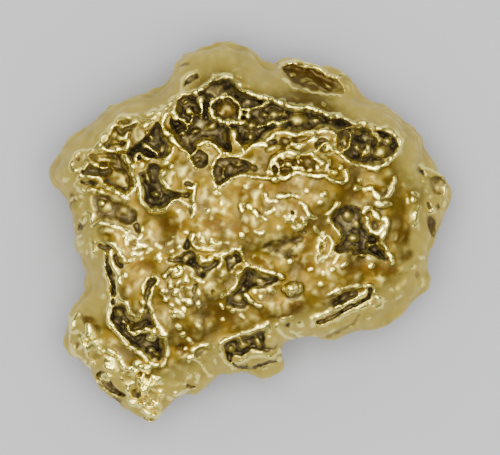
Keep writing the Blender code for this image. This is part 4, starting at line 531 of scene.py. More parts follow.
        (-3.50, -0.44), (-3.48, -0.65), (-3.44, -0.89), (-3.34, -1.03), (-3.28, -1.16),
        (-3.33, -1.32), (-3.35, -1.48), (-3.36, -1.62), (-3.24, -1.69), (-3.10, -1.76),
        (-3.02, -1.90), (-2.92, -2.04), (-2.80, -2.04), (-2.72, -1.90), (-2.68, -1.72),
    ]),
    "leaf shelf": (0.200, 0.061, [
        (-3.12, -2.24), (-3.06, -2.38), (-2.94, -2.46), (-2.82, -2.46), (-2.68, -2.36),
        (-2.51, -2.38), (-2.38, -2.42),
    ]),
    "leaf spur": (0.090, 0.041, [(-2.58, -2.57), (-2.42, -2.56), (-2.33, -2.50), (-2.16, -2.52)]),
    "south pocket rim": (0.080, 0.041, [
        (-0.53, -3.27), (-0.67, -3.20), (-0.74, -3.06), (-0.80, -2.84), (-0.74, -2.70),
        (-0.56, -2.59), (-0.28, -2.51), (-0.03, -2.41), (0.26, -2.31), (0.40, -2.25), (0.47, -2.34),
        (0.44, -2.46),
    ]),
    "south ledge": (0.070, 0.045, [
        (-0.40, -3.20), (-0.18, -3.14), (0.00, -3.06), (0.20, -3.04), (0.36, -3.04), (0.58, -3.02),
        (0.69, -2.92),
    ]),
    "south-west pit rim": (0.065, 0.039, [
        (-1.12, -2.77), (-1.35, -2.81), (-1.46, -2.92), (-1.42, -3.09), (-1.24, -3.27),
        (-1.06, -3.48), (-0.96, -3.52),
    ]),
    "south notch rim": (0.070, 0.041, [
        (1.01, -2.06), (0.88, -2.09), (0.70, -2.20), (0.62, -2.31), (0.72, -2.45), (0.90, -2.58),
        (1.04, -2.63),
    ]),
    "south bar": (0.060, 0.034, [
        (0.97, -2.41), (1.10, -2.50), (1.20, -2.58), (1.44, -2.58), (1.64, -2.59),
    ]),
    "long south-east rim": (0.060, 0.039, [
        (1.90, -1.54), (2.15, -1.42), (2.36, -1.34), (2.60, -1.30), (2.80, -1.34), (2.85, -1.46),
        (2.72, -1.60),
    ]),
    "ridge between the south-east pits": (0.080, 0.043, [
        (1.51, -2.10), (1.69, -2.04), (1.86, -2.00), (2.15, -1.84), (2.44, -1.70), (2.70, -1.58),
    ]),
    "right rim of the south-east crack": (0.060, 0.039, [
        (2.87, -1.31), (3.00, -1.32), (3.08, -1.47),
    ]),
    "south-east outer rim": (0.040, 0.037, [
        (1.70, -2.30), (2.04, -2.18), (2.40, -2.00), (2.70, -1.86), (2.92, -1.78),
    ]),
    "knob ring": (0.065, 0.039, [
        (3.12, -1.58), (3.22, -1.58), (3.29, -1.66), (3.24, -1.79), (3.10, -1.82), (2.96, -1.76),
    ]),
    "flake lip": (0.110, 0.045, [
        (0.72, 4.10), (0.84, 4.20), (1.10, 4.23), (1.40, 4.20), (1.66, 4.10), (1.86, 3.95),
        (2.08, 3.86), (2.30, 3.92),
    ]),
    "flake inner lip": (0.050, 0.041, [(0.80, 3.76), (1.10, 3.54), (1.70, 3.43), (2.24, 3.38)]),
    "lobe rim": (0.075, 0.043, [
        (-4.38, -2.00), (-4.45, -2.12), (-4.49, -2.26), (-4.56, -2.40), (-4.44, -2.46),
        (-4.30, -2.42), (-4.14, -2.52), (-3.97, -2.59), (-3.87, -2.76), (-3.76, -2.93),
        (-3.62, -2.88), (-3.42, -2.97), (-3.27, -3.08),
    ]),
    "west lobe ring": (0.065, 0.041, [
        (-4.56, -2.54), (-4.52, -2.82), (-4.42, -3.00), (-4.28, -3.08),
    ]),
    "west lobe bar": (0.065, 0.041, [
        (-4.28, -2.60), (-4.20, -2.76), (-4.13, -2.92), (-4.08, -3.02),
    ]),
    "lobe ring": (0.085, 0.034, [
        (-3.72, -3.50), (-3.62, -3.46), (-3.55, -3.54), (-3.58, -3.64), (-3.68, -3.64),
        (-3.73, -3.56),
    ]),
    "lobe ellipse": (0.080, 0.049, [(-3.66, -3.28), (-3.52, -3.38)]),
    "lobe loop": (0.080, 0.043, [
        (-3.20, -3.44), (-3.06, -3.34), (-2.86, -3.29), (-2.72, -3.36), (-2.72, -3.53),
        (-2.80, -3.70), (-2.70, -3.86),
    ]),
    "lobe loop bar": (0.070, 0.039, [(-3.10, -3.50), (-2.94, -3.44), (-2.82, -3.38)]),
    "lobe low loop": (0.080, 0.043, [
        (-3.06, -3.78), (-3.10, -3.98), (-3.04, -4.15), (-2.93, -4.26), (-2.72, -4.22),
        (-2.58, -4.30), (-2.38, -4.29), (-2.28, -4.16), (-2.23, -4.05), (-2.30, -3.92),
        (-2.44, -3.84), (-2.60, -3.74),
    ]),
    "lobe inner bar": (0.070, 0.039, [(-2.58, -3.98), (-2.50, -4.08), (-2.42, -4.16)]),
    "tip bar": (0.070, 0.041, [(-2.58, -4.68), (-2.42, -4.70), (-2.32, -4.62)]),
    "tip ridge": (0.060, 0.039, [(-2.70, -4.40), (-2.54, -4.44), (-2.42, -4.50)]),
    "south-west edge bar": (0.055, 0.041, [(-1.90, -3.98), (-1.72, -3.92), (-1.58, -3.86)]),
    "east shoulder ridge": (0.080, 0.041, [(4.17, 0.63), (4.08, 0.45), (4.11, 0.26), (4.04, 0.14)]),
    "east lump rim": (0.055, 0.041, [
        (4.18, 1.66), (4.39, 1.56), (4.60, 1.49), (4.80, 1.43), (4.92, 1.28), (4.93, 1.06),
        (4.86, 0.80), (4.76, 0.62),
    ]),
    "east lump inner ridge": (0.060, 0.037, [(4.84, 1.14), (4.86, 1.00), (4.80, 0.86)]),
    "facet ridge": (0.055, 0.045, [
        (-3.98, 0.17), (-3.70, 0.23), (-3.40, 0.17), (-3.18, 0.07), (-3.04, 0.04),
    ]),
    "west crescent rim": (0.060, 0.037, [
        (-4.20, 0.46), (-4.06, 0.52), (-3.98, 0.42), (-4.00, 0.26),
    ]),
    "edge of the east light spot": (0.045, 0.041, [(4.28, -1.14), (4.26, -1.34)]),
}

# Lumps: x, y, long and short radius, turn in degrees, height
LUMPS = [
    (-0.36, 3.52, 0.15, 0.12, 0, 0.40), (-0.65, 3.02, 0.40, 0.34, -10, 0.16),
    (1.16, 2.82, 0.26, 0.22, 0, 0.40), (0.80, 2.92, 0.12, 0.10, 0, 0.22),
    (0.00, 2.66, 0.22, 0.18, 10, 0.34), (-0.03, 2.36, 0.14, 0.12, 0, 0.26),
    (0.58, 2.94, 0.16, 0.12, 0, 0.22), (1.60, 2.78, 0.16, 0.10, 10, 0.26),
    (1.98, 2.78, 0.14, 0.09, -20, 0.26), (0.30, 2.90, 0.12, 0.10, 0, 0.22),
    (-1.85, 3.02, 0.13, 0.22, 10, 0.34), (-1.00, 2.62, 0.20, 0.12, 30, 0.22),
    (-1.72, 2.46, 0.14, 0.10, 0, 0.22), (-0.62, 2.34, 0.12, 0.16, 0, 0.20),
    (-1.40, 2.50, 0.14, 0.10, 0, 0.18), (-1.62, 3.22, 0.12, 0.08, 30, 0.25),
    (2.62, 2.53, 0.13, 0.12, 0, 0.50), (3.22, 1.98, 0.27, 0.23, 20, 0.38),
    (2.34, 2.24, 0.15, 0.25, 20, 0.34), (3.40, 2.28, 0.12, 0.10, 0, 0.30),
    (2.92, 2.50, 0.14, 0.10, 0, 0.36), (2.62, 2.10, 0.10, 0.10, 0, 0.20),
    (-3.66, 1.80, 0.34, 0.16, -12, 0.30), (-3.32, 1.36, 0.36, 0.24, -42, 0.28),
    (-3.46, 2.46, 0.14, 0.12, 40, 0.16), (-3.38, 2.20, 0.16, 0.10, 0, 0.16),
    (-2.58, 1.36, 0.11, 0.20, 5, 0.36), (-2.39, 0.95, 0.16, 0.09, -10, 0.34),
    (-2.50, 2.36, 0.10, 0.16, 30, 0.22), (-2.22, 2.06, 0.10, 0.12, 0, 0.18),
    (-1.76, 0.92, 0.18, 0.06, 0, 0.16),
    (-2.10, 1.34, 0.22, 0.26, 0, 0.08), (2.40, 0.44, 0.16, 0.16, 0, 0.24),
    (2.54, -0.14, 0.16, 0.09, 0, 0.34), (2.95, -0.30, 0.15, 0.12, -30, 0.40),
    (2.51, -0.42, 0.16, 0.10, 0, 0.28), (2.73, -0.52, 0.14, 0.09, -30, 0.30),
    (2.20, -0.34, 0.14, 0.11, 0, 0.34), (2.62, 0.24, 0.12, 0.12, 0, 0.22),
    (-2.51, -2.87, 0.08, 0.07, 0, 0.30), (-2.36, -3.02, 0.13, 0.12, 0, 0.28),
    (-2.94, -2.30, 0.20, 0.13, -20, 0.26), (-3.30, -1.95, 0.14, 0.12, 0, 0.16),
    (0.15, -2.70, 0.09, 0.17, 20, 0.38), (-0.17, -2.75, 0.16, 0.10, -10, 0.28),
    (-0.50, -2.88, 0.13, 0.12, 0, 0.20), (0.48, -2.62, 0.13, 0.16, 0, 0.14),
    (0.16, -3.00, 0.26, 0.10, 5, 0.12), (-3.64, -3.55, 0.08, 0.08, 0, 0.16),
    (-0.30, -1.60, 0.18, 0.12, 0, 0.16), (0.20, -1.20, 0.20, 0.10, -15, 0.16),
    (-0.90, -1.40, 0.30, 0.26, 0, 0.10), (-0.66, -1.08, 0.16, 0.20, 0, 0.08),
    (1.05, -1.36, 0.25, 0.16, 0, 0.16), (-0.44, -0.68, 0.10, 0.10, 0, 0.10),
    (-1.62, -0.62, 0.18, 0.12, 30, 0.22), (-1.26, -0.92, 0.10, 0.10, 0, 0.18),
    (0.90, -0.36, 0.22, 0.12, 20, 0.10), (0.60, -0.30, 0.14, 0.10, 0, 0.08),
    (-4.05, -3.24, 0.20, 0.16, -20, 0.16), (-2.78, -3.68, 0.14, 0.13, 0, 0.16),
    (3.76, 2.40, 0.13, 0.12, 0, 0.10), (-0.36, 3.92, 0.16, 0.11, -20, 0.11),
    (4.37, 1.32, 0.10, 0.14, 0, 0.12), (4.70, 1.14, 0.14, 0.16, 20, 0.14),
    (4.53, 0.58, 0.07, 0.12, 0, 0.10), (2.06, 1.48, 0.13, 0.09, -30, 0.14),
    (2.55, 3.60, 0.24, 0.16, -50, 0.12), (0.52, 2.06, 0.17, 0.07, 30, 0.16),
    (0.95, 1.72, 0.14, 0.10, 30, 0.12), (1.26, 1.68, 0.12, 0.12, 0, 0.12),
    (-0.35, 1.66, 0.14, 0.10, 0, 0.22), (-0.68, 1.58, 0.12, 0.12, 0, 0.22),
    (-0.02, 1.62, 0.10, 0.07, 0, 0.20), (-1.30, 1.80, 0.10, 0.08, 0, 0.14),
    (-3.60, 0.62, 0.16, 0.12, 0, 0.12), (-3.20, 0.56, 0.14, 0.14, 0, 0.10),
    (-3.61, 0.06, 0.20, 0.11, 5, 0.08), (1.40, 3.70, 0.20, 0.08, -15, 0.16),
    (1.00, 3.92, 0.14, 0.08, -10, 0.14), (1.90, 3.66, 0.16, 0.07, -25, 0.14),
]

# Small beads, bright as rubbed gold with a painted highlight: x, y, long and short radius, turn in
# degrees
BEADS = [
    (-4.64, 1.29, 0.08, 0.07, 0), (-4.00, 1.05, 0.08, 0.06, 0), (-3.75, 1.03, 0.08, 0.07, 0),
    (-3.67, 1.18, 0.08, 0.08, 0), (-3.05, 0.96, 0.08, 0.06, 30), (-2.92, 1.06, 0.08, 0.06, 0),
    (-2.96, 1.65, 0.07, 0.06, 0), (-2.75, 1.65, 0.07, 0.07, 0), (-2.14, 1.70, 0.06, 0.05, 0),
    (-2.00, 1.64, 0.06, 0.06, 0), (-2.20, 3.09, 0.10, 0.07, 0), (-2.14, 2.48, 0.12, 0.07, -15),
    (-4.46, 0.18, 0.06, 0.05, 0), (-4.30, -0.11, 0.09, 0.05, 0), (-3.72, 0.73, 0.06, 0.05, 0),
    (-4.24, 0.89, 0.07, 0.05, 0), (-4.64, 0.70, 0.07, 0.05, 0), (-3.02, -0.18, 0.06, 0.05, 0),
    (-2.83, -0.28, 0.08, 0.07, 0), (-2.92, -0.38, 0.07, 0.05, 0), (-2.90, -0.52, 0.10, 0.08, 0),
    (-2.66, -0.34, 0.07, 0.05, 0), (-2.74, 0.10, 0.05, 0.07, 0), (-2.27, -0.33, 0.06, 0.05, 0),
    (-2.08, -0.27, 0.06, 0.05, 0), (-2.03, -0.46, 0.06, 0.05, 0), (-1.94, -0.61, 0.07, 0.05, 0),
    (-1.95, -0.44, 0.05, 0.05, 0), (-2.27, -0.66, 0.05, 0.06, 0), (-1.22, -0.24, 0.08, 0.06, 0),
    (-1.46, -0.24, 0.06, 0.08, 0), (-1.11, 0.53, 0.07, 0.07, 0), (-0.85, 1.04, 0.08, 0.09, 0),
    (-0.30, 0.68, 0.06, 0.06, 0), (0.97, 0.44, 0.08, 0.06, 0), (1.31, 0.23, 0.08, 0.07, 40),
    (1.22, 0.10, 0.07, 0.05, 0), (1.69, 0.73, 0.06, 0.05, 0), (1.75, 0.92, 0.05, 0.05, 0),
    (1.84, 0.98, 0.05, 0.05, 0), (1.38, 1.04, 0.06, 0.05, 0), (1.80, -0.26, 0.08, 0.06, 30),
    (0.97, -0.70, 0.08, 0.06, -30), (2.06, -0.70, 0.05, 0.05, 0), (2.00, -0.89, 0.07, 0.06, 0),
    (1.47, -0.89, 0.06, 0.05, 0), (1.72, -1.26, 0.06, 0.06, 0), (2.16, -0.56, 0.05, 0.08, -20),
    (2.10, -0.64, 0.05, 0.09, -25), (2.32, -0.80, 0.11, 0.06, 35), (2.98, -0.80, 0.08, 0.06, 0),
    (2.89, -0.61, 0.09, 0.05, -35), (3.47, -0.72, 0.08, 0.08, 0), (2.70, 1.29, 0.06, 0.05, 0),
    (2.04, 1.48, 0.11, 0.07, -30), (2.20, 1.60, 0.05, 0.07, 0), (1.63, 1.62, 0.05, 0.06, 0),
    (1.44, 1.58, 0.08, 0.05, 40), (1.82, 2.52, 0.12, 0.06, 5), (4.04, 0.82, 0.06, 0.06, 0),
    (4.36, 1.03, 0.06, 0.05, 0), (4.45, 0.87, 0.05, 0.07, 0), (4.53, 0.57, 0.05, 0.08, 0),
    (4.82, 0.74, 0.05, 0.06, 0), (4.25, -0.62, 0.08, 0.06, 30), (4.04, -0.86, 0.08, 0.06, 30),
    (4.27, -1.22, 0.07, 0.12, 0), (3.20, -1.64, 0.10, 0.08, 0), (2.90, -2.09, 0.07, 0.05, 0),
    (1.22, -2.25, 0.11, 0.09, -30), (1.54, -2.24, 0.09, 0.09, 0), (1.68, -2.08, 0.07, 0.06, 0),
    (0.69, -2.91, 0.08, 0.06, 0), (0.72, -3.12, 0.08, 0.06, 0), (0.33, -3.33, 0.07, 0.05, 0),
    (0.24, -3.05, 0.10, 0.05, 0), (-0.17, -3.05, 0.07, 0.05, 0), (-0.31, -2.63, 0.06, 0.05, 0),
    (-0.46, -3.33, 0.08, 0.05, 0), (0.06, -1.45, 0.06, 0.06, 0), (0.22, -1.59, 0.06, 0.06, 0),
    (0.51, -1.42, 0.11, 0.05, -15), (0.94, -1.36, 0.08, 0.07, 0), (-0.71, -1.55, 0.07, 0.06, 0),
    (-0.71, -1.82, 0.06, 0.06, 0), (-0.48, -1.93, 0.06, 0.05, 0), (-0.73, -2.13, 0.06, 0.04, 0),
    (-1.90, -1.48, 0.08, 0.08, 0), (-2.14, -1.65, 0.06, 0.06, 0), (-1.99, -1.80, 0.07, 0.06, -40),
    (-1.92, -1.93, 0.08, 0.07, 0), (-1.95, -2.04, 0.06, 0.05, 0), (-1.81, -2.31, 0.08, 0.07, -20),
    (-1.71, -2.49, 0.06, 0.06, 0), (-2.00, -1.31, 0.06, 0.05, 0), (-1.57, -1.69, 0.08, 0.10, 0),
    (-1.33, -1.48, 0.05, 0.09, 0), (-1.32, -1.76, 0.05, 0.09, 0), (-1.47, -1.07, 0.08, 0.06, -40),
    (-1.97, -0.90, 0.10, 0.06, 10), (-2.50, -1.11, 0.06, 0.05, 0), (-3.69, -1.57, 0.08, 0.08, 0),
    (-3.32, -1.10, 0.08, 0.08, 0), (-3.14, -1.03, 0.07, 0.06, 0), (-3.92, -0.46, 0.09, 0.07, 60),
    (-3.27, -0.40, 0.07, 0.05, -40), (-3.02, -0.70, 0.05, 0.05, 0), (-1.66, -2.84, 0.05, 0.05, 0),
    (-3.38, -2.42, 0.10, 0.07, -50), (-3.00, -2.84, 0.08, 0.06, 0), (-2.48, -1.92, 0.06, 0.07, 0),
    (-1.36, -3.53, 0.07, 0.09, 0), (-1.38, -3.67, 0.06, 0.06, 0), (-1.82, -3.98, 0.11, 0.06, 20),
    (-2.07, -4.07, 0.10, 0.06, -20), (-1.68, -3.70, 0.05, 0.05, 0), (-4.10, -3.30, 0.10, 0.08, 0),
    (-3.98, -3.18, 0.09, 0.07, 0), (-4.19, -3.16, 0.07, 0.06, 0), (-3.58, -3.33, 0.10, 0.06, -35),
    (-3.38, -2.98, 0.09, 0.06, -20), (-3.74, -2.94, 0.08, 0.06, 0), (-2.75, -3.62, 0.09, 0.09, 0),
    (-2.68, -3.88, 0.07, 0.07, 0), (-3.24, -3.32, 0.08, 0.06, -30), (-3.25, -3.60, 0.07, 0.05, -20),
    (-2.54, -3.76, 0.07, 0.05, 0), (-2.33, -4.20, 0.08, 0.08, 0), (-2.44, -4.48, 0.08, 0.07, 0),
    (-2.40, -4.70, 0.10, 0.05, 10), (-2.80, -4.30, 0.07, 0.06, 0), (-2.62, -4.42, 0.05, 0.05, 0),
    (-4.50, -2.30, 0.08, 0.07, 0), (-4.12, -2.60, 0.08, 0.06, 0), (-4.50, -2.88, 0.07, 0.06, 0),
    (-3.90, -2.66, 0.08, 0.07, 0), (-3.55, -3.10, 0.05, 0.04, 0), (-4.30, -2.44, 0.06, 0.05, 0),
    (-2.96, -3.52, 0.07, 0.06, 0), (0.38, 3.18, 0.06, 0.06, 0), (-0.09, 2.88, 0.07, 0.06, 0),
    (3.16, 2.26, 0.07, 0.08, 0), (2.82, 1.96, 0.06, 0.09, 30), (-1.08, 2.16, 0.14, 0.10, -20),
    (-1.56, 2.96, 0.06, 0.10, 0), (3.60, 3.00, 0.05, 0.04, 0), (1.80, 3.16, 0.06, 0.04, -30),
]

# Patches of small knobbly grains: how many, least and greatest radius, dirt stain and painted shade
# between them, outline
GRAINS = {
    "lobe edge": (52, 0.06, 0.13, 0.60, [
        (-4.60, -2.25), (-4.30, -2.20), (-3.80, -2.62), (-3.20, -3.14), (-2.60, -3.30),
        (-2.10, -3.95), (-2.35, -4.70), (-2.75, -4.50), (-3.00, -4.20), (-3.05, -3.70),
        (-3.60, -3.25), (-4.10, -3.40),
    ]),
    "bright patch": (24, 0.05, 0.10, 0.50, [
        (-2.30, -1.05), (-1.50, -0.90), (-1.46, -1.40), (-1.80, -2.10), (-2.30, -1.70),
    ]),
    "west speckles": (13, 0.05, 0.09, 0.45, [
        (-3.10, -0.10), (-2.50, -0.12), (-2.48, -0.58), (-3.05, -0.62),
    ]),
    "middle speckles": (7, 0.05, 0.08, 0.45, [
        (-2.35, -0.20), (-1.85, -0.25), (-1.80, -0.55), (-2.35, -0.66),
    ]),
    "slot speckles": (6, 0.05, 0.08, 0.40, [
        (-1.40, -0.05), (-0.70, -0.16), (-0.70, -0.42), (-1.30, -0.36),
    ]),
    "right speckles": (11, 0.05, 0.09, 0.35, [
        (1.00, 0.62), (1.55, 0.50), (1.60, 0.10), (1.20, 0.00), (0.90, 0.25),
    ]),
    "strip speckles": (13, 0.05, 0.09, 0.50, [
        (0.60, 1.84), (1.40, 1.86), (2.10, 1.75), (1.95, 1.48), (1.20, 1.55), (0.60, 1.46),
    ]),
    "upper strip speckles": (11, 0.05, 0.09, 0.50, [
        (0.70, 2.34), (1.90, 2.46), (2.00, 1.96), (1.30, 2.02), (0.70, 2.04),
    ]),
    "east speckles": (10, 0.05, 0.09, 0.30, [
        (1.60, 0.00), (2.00, -0.10), (2.20, -0.90), (1.60, -1.00),
    ]),
    "west flank": (9, 0.05, 0.09, 0.35, [
        (-4.60, 0.90), (-4.20, 1.00), (-3.90, 0.40), (-3.95, -0.60), (-4.30, -0.50),
        (-4.50, 0.10),
    ]),
    "south-west flank": (9, 0.05, 0.10, 0.35, [
        (-2.00, -3.95), (-1.50, -3.85), (-0.75, -3.35), (-0.80, -2.75), (-1.60, -2.60),
        (-2.05, -3.30),
    ]),
    "south-east flank": (7, 0.05, 0.09, 0.30, [
        (1.10, -2.55), (2.10, -2.50), (3.40, -2.05), (4.10, -1.50), (3.90, -1.00),
        (3.10, -1.70), (2.00, -2.25), (1.20, -2.30),
    ]),
    "east flank": (6, 0.05, 0.09, 0.30, [
        (3.90, 1.30), (4.30, 1.20), (4.60, 0.60), (4.20, -0.20), (3.90, 0.20),
    ]),
    "whole top": (26, 0.04, 0.07, 0.00, [
        (-4.10, 0.40), (-2.90, 0.40), (-1.20, 1.20), (0.50, 1.20), (3.50, 1.50),
        (3.70, -0.80), (2.50, -1.30), (1.50, -2.20), (-0.80, -2.40), (-2.00, -3.20),
        (-2.20, -1.90), (-3.20, -0.80), (-4.00, -0.60),
    ]),
}

# A grain's long radius, and its least and greatest short one, for the radius drawn for it
GRAIN_SEED = 11
GRAIN_LONG = 1.25
GRAIN_SHORT = (0.40, 0.70)

# A patch of grains: the width over which it sets in, and how deep it sinks between them
PATCH_BLEND = 0.20
PATCH_DEPTH = 0.08

# Smooth satin patches, brown with iron: x, y, long and short radius, turn in degrees, rust
SATIN = [
    (0.45, 1.12, 1.25, 0.16, 3, 0.55), (2.90, -0.92, 1.15, 0.20, -2, 0.75),
    (0.75, -1.90, 0.75, 0.24, 12, 0.80), (-2.85, -0.85, 0.30, 0.14, 40, 0.75),
    (-3.05, -1.35, 0.26, 0.34, 25, 0.50), (-1.72, -2.85, 0.26, 0.24, 0, 0.95),
    (1.15, 0.55, 0.42, 0.34, 20, 0.45), (-0.15, 0.90, 0.26, 0.16, -20, 0.75),
    (-0.90, 0.20, 0.40, 0.22, -10, 0.75), (-0.25, 0.10, 0.35, 0.28, 10, 0.70),
    (-1.95, 0.20, 0.45, 0.26, 0, 0.85), (1.30, -0.75, 0.50, 0.18, -35, 0.85),
    (0.30, -0.75, 0.50, 0.12, -25, 0.80), (1.35, -0.25, 0.22, 0.40, 0, 0.60),
    (-0.85, -1.95, 0.60, 0.25, -15, 0.75), (-0.60, -2.25, 0.60, 0.16, -5, 0.55),
    (2.45, 1.05, 0.60, 0.20, -25, 0.60), (3.23, 1.14, 0.22, 0.16, 0, 0.90),
    (3.75, 0.10, 0.30, 0.60, 10, 0.60), (3.85, -0.55, 0.30, 0.22, 20, 0.55),
    (-3.20, 2.25, 0.22, 0.16, 0, 0.60), (-3.40, 2.50, 0.18, 0.14, 0, 0.50),
    (-4.02, -2.20, 0.34, 0.20, -35, 0.60), (-0.62, 3.03, 0.34, 0.28, -10, 1.00),
    (1.95, -0.10, 0.16, 0.30, 0, 0.45), (-2.60, -0.80, 0.30, 0.20, 0, 0.60),
    (-4.45, 0.75, 0.14, 0.35, 0, 0.45), (-1.40, -2.50, 0.30, 0.30, 0, 0.60),
    (2.35, 1.45, 0.12, 0.40, 10, 0.45), (1.00, 1.70, 0.50, 0.14, 3, 0.50),
    (4.50, 0.15, 0.12, 0.35, 10, 0.95), (-3.60, 0.85, 0.40, 0.14, -15, 0.50),
    (1.45, 3.82, 0.90, 0.34, -20, 1.00),
]

# Heights of the uneven ground of the top, and how far the drawn lines waver
SWELL = 0.075
PEBBLE = 0.022
GRIT = 0.009
FLANK_SWELL = 0.042
FLANK_PEBBLE = 0.030
WARP = 0.020
FINE_WARP = 0.016

# The flanks: how far in from the outline they end, and over how much the top takes over
FLANK_START = 0.45
FLANK_BLEND = 0.5

# The thin film that dulls the gold, and how much less of it the flanks have
FILM = 0.48
FLANK_FILM = 0.20

# Least and greatest share of a ridge's half width and of its height, along its beads
BEAD_WIDTHS = (0.45, 1.8)
BEAD_HEIGHTS = (0.6, 1.1)

# Beads and grains: rise for their short radius, and the radii from which they cover the
# ground and are fully bright, as rubbed gold with a painted highlight; the roundness is that of the
# lumps too
BEAD_RISE = 0.75
FULL_BEAD = 0.06
BRIGHT_BEAD = 0.055
ROUNDNESS = 0.75

# The floor of a pit: its swells, its knobs, and the depth from which it is fully rough
FLOOR_SWELL = 0.09
FLOOR_KNOBS = 0.05
ROUGH_DEPTH = 0.3

# How far up a slope has to face to take the full relief
STEEP = 0.35

# Crests and hollows of the finished skin: rounds of smoothing they are told by, full size;
# crests get a painted highlight, hollows painted shade
CREST_ROUNDS = 4
CREST_HEIGHT = 0.014
HOLLOW_ROUNDS = 20
HOLLOW_DEPTH = 0.055

# Dents and lumps of the sides: how many, the heights they face (-1 is down), their reach and
# stretch, their depth and height for their reach, then small and large swells as height, size
SIDE_SEED = 29
SIDE_PITS = 60
SIDE_LUMPS = 50
SIDE_HEIGHTS = (-1, 0.15)
SIDE_REACHES = (0.28, 0.80)
SIDE_STRETCHES = (1.0, 2.2)
SIDE_PIT_DEPTH = 0.36
SIDE_LUMP_HEIGHT = 0.22
SIDE_PEBBLES = (0.075, 0.26)
SIDE_SWELLS = ((0.07, 1.3), (0.07, 0.55))

# Radius inside which the underside isn't worn, so that it rests flat
REST_RADIUS = 1.5

# Powers of the curve from the waist down: how soon it turns under, how long it stays steep
UNDERSIDE_CURVE = (2.2, 0.7)


# ---------------------------------------------------------------- curves and distances

def smooth_line(points, closed=False, step=0.05):
    """Points about a step apart along a Catmull-Rom curve through the given ones."""
    knots = np.array(points, float)
    if closed:
        knots = np.vstack([knots[-1], knots, knots[0], knots[1]])
    else:
        knots = np.vstack([2 * knots[0] - knots[1], knots, 2 * knots[-1] - knots[-2]])
    line = []
    for a, b, c, d in zip(knots, knots[1:], knots[2:], knots[3:]):
        count = max(1, int(np.linalg.norm(c - b) / step))
        for t in np.arange(count) / count:
            line.append(
                0.5 * (2 * b + (c - a) * t + (2 * a - 5 * b + 4 * c - d) * t**2
                       + (3 * b - a - 3 * c + d) * t**3)
            )
    if not closed:
        line.append(knots[-2])
    return np.array(line)


def distance(places, line, closed=False):
    """Distance from each place to the line."""
    ends = np.roll(line, -1, axis=0) if closed else line[1:]
    starts = line if closed else line[:-1]
    best = np.full(len(places), np.inf)
    for start, end in zip(starts, ends):
        along = end - start
        share = np.clip((places - start) @ along / max(along @ along, 1e-12), 0, 1)
        best = np.minimum(best, np.hypot(*(places - start - share[:, None] * along).T))
    return best


def is_inside(places, outline):
    """True for each place inside the closed outline."""
    x, y = places.T
    inside = np.zeros(len(places), bool)
    for (x0, y0), (x1, y1) in zip(outline, np.roll(outline, -1, axis=0)):
        if y0 != y1:
            inside ^= ((y0 > y) != (y1 > y)) & (x < (x1 - x0) * (y - y0) / (y1 - y0) + x0)
    return inside


def near(places, line, margin):
    """Indices of the places inside the line's box and a margin round it."""
    low, high = line.min(axis=0) - margin, line.max(axis=0) + margin
    return np.flatnonzero(((places > low) & (places < high)).all(axis=1))


def inset_from(places, points):
    """Indices of the places near a closed outline, and how far inside it each one is."""
    outline = smooth_line(points, closed=True)
    at = near(places, outline, 0.05)
    return at, np.where(is_inside(places[at], outline), distance(places[at], outline, True), 0)


def ease(share):
    """0 up to 0, 1 from 1, and a smooth step between."""
    share = np.clip(share, 0, 1)
    return share * share * (3 - 2 * share)


def in_ellipse(places, x, y, long_radius, short_radius, turn):
    """1 at the middle of a turned ellipse, 0 at its edge and outside."""
    angle = math.radians(turn)
    away = places - (x, y)
    along = away @ (math.cos(angle), math.sin(angle)) / long_radius
    across = away @ (-math.sin(angle), math.cos(angle)) / short_radius
    return np.clip(1 - along**2 - across**2, 0, 1)


def ripple(places, size, layer):
    """Soft noise from about -1 to 1 on the flat, with swells of about the given size."""
    return np.array([
        1.6 * noise.noise(Vector((x, y, layer))) for x, y in places / size
    ])


def lumpy(places, height, size):
    """Soft noise in space up to about the given height, with swells of the given size."""
    return [height * noise.noise(Vector(place) / size) for place in places]


# ---------------------------------------------------------------- relief of the top

def grains():
    """Seeded small beads inside each patch of GRAINS, shaped as the BEADS are."""
    random.seed(GRAIN_SEED)
    made = []
    for count, least, most, dark, points in GRAINS.values():
        outline = smooth_line(points, closed=True)
        low, high = outline.min(axis=0), outline.max(axis=0)
        while count:
            place = (random.uniform(low[0], high[0]), random.uniform(low[1], high[1]))
            radius = random.uniform(least, most)
            shape = (
                GRAIN_LONG * radius, radius * random.uniform(*GRAIN_SHORT),
                random.uniform(0, 180),
            )
            if is_inside(np.array([place]), outline)[0]:
                made.append((*place, *shape))
                count -= 1
    return made


def ground_of(places, flank):
    """Uneven ground of the top, quieter on the flanks but with swells of their own."""
    ground = SWELL * ripple(places, 0.60, 3.0) + PEBBLE * ripple(places, 0.24, 5.0)
    ground *= 1 - 0.5 * flank
    ground += GRIT * ripple(places, 0.13, 27.0)
    ground += flank * (
        FLANK_SWELL * ripple(places, 0.36, 31.0) + FLANK_PEBBLE * ripple(places, 0.20, 37.0)
    )
    return ground


def shaken(places):
    """The places moved a little, so that no drawn line stays quite smooth."""
    warp = np.stack([ripple(places, 0.30, 13.0), ripple(places, 0.30, 17.0)], axis=1)
    fine = np.stack([ripple(places, 0.11, 19.0), ripple(places, 0.11, 23.0)], axis=1)
    return places + WARP * warp + FINE_WARP * fine


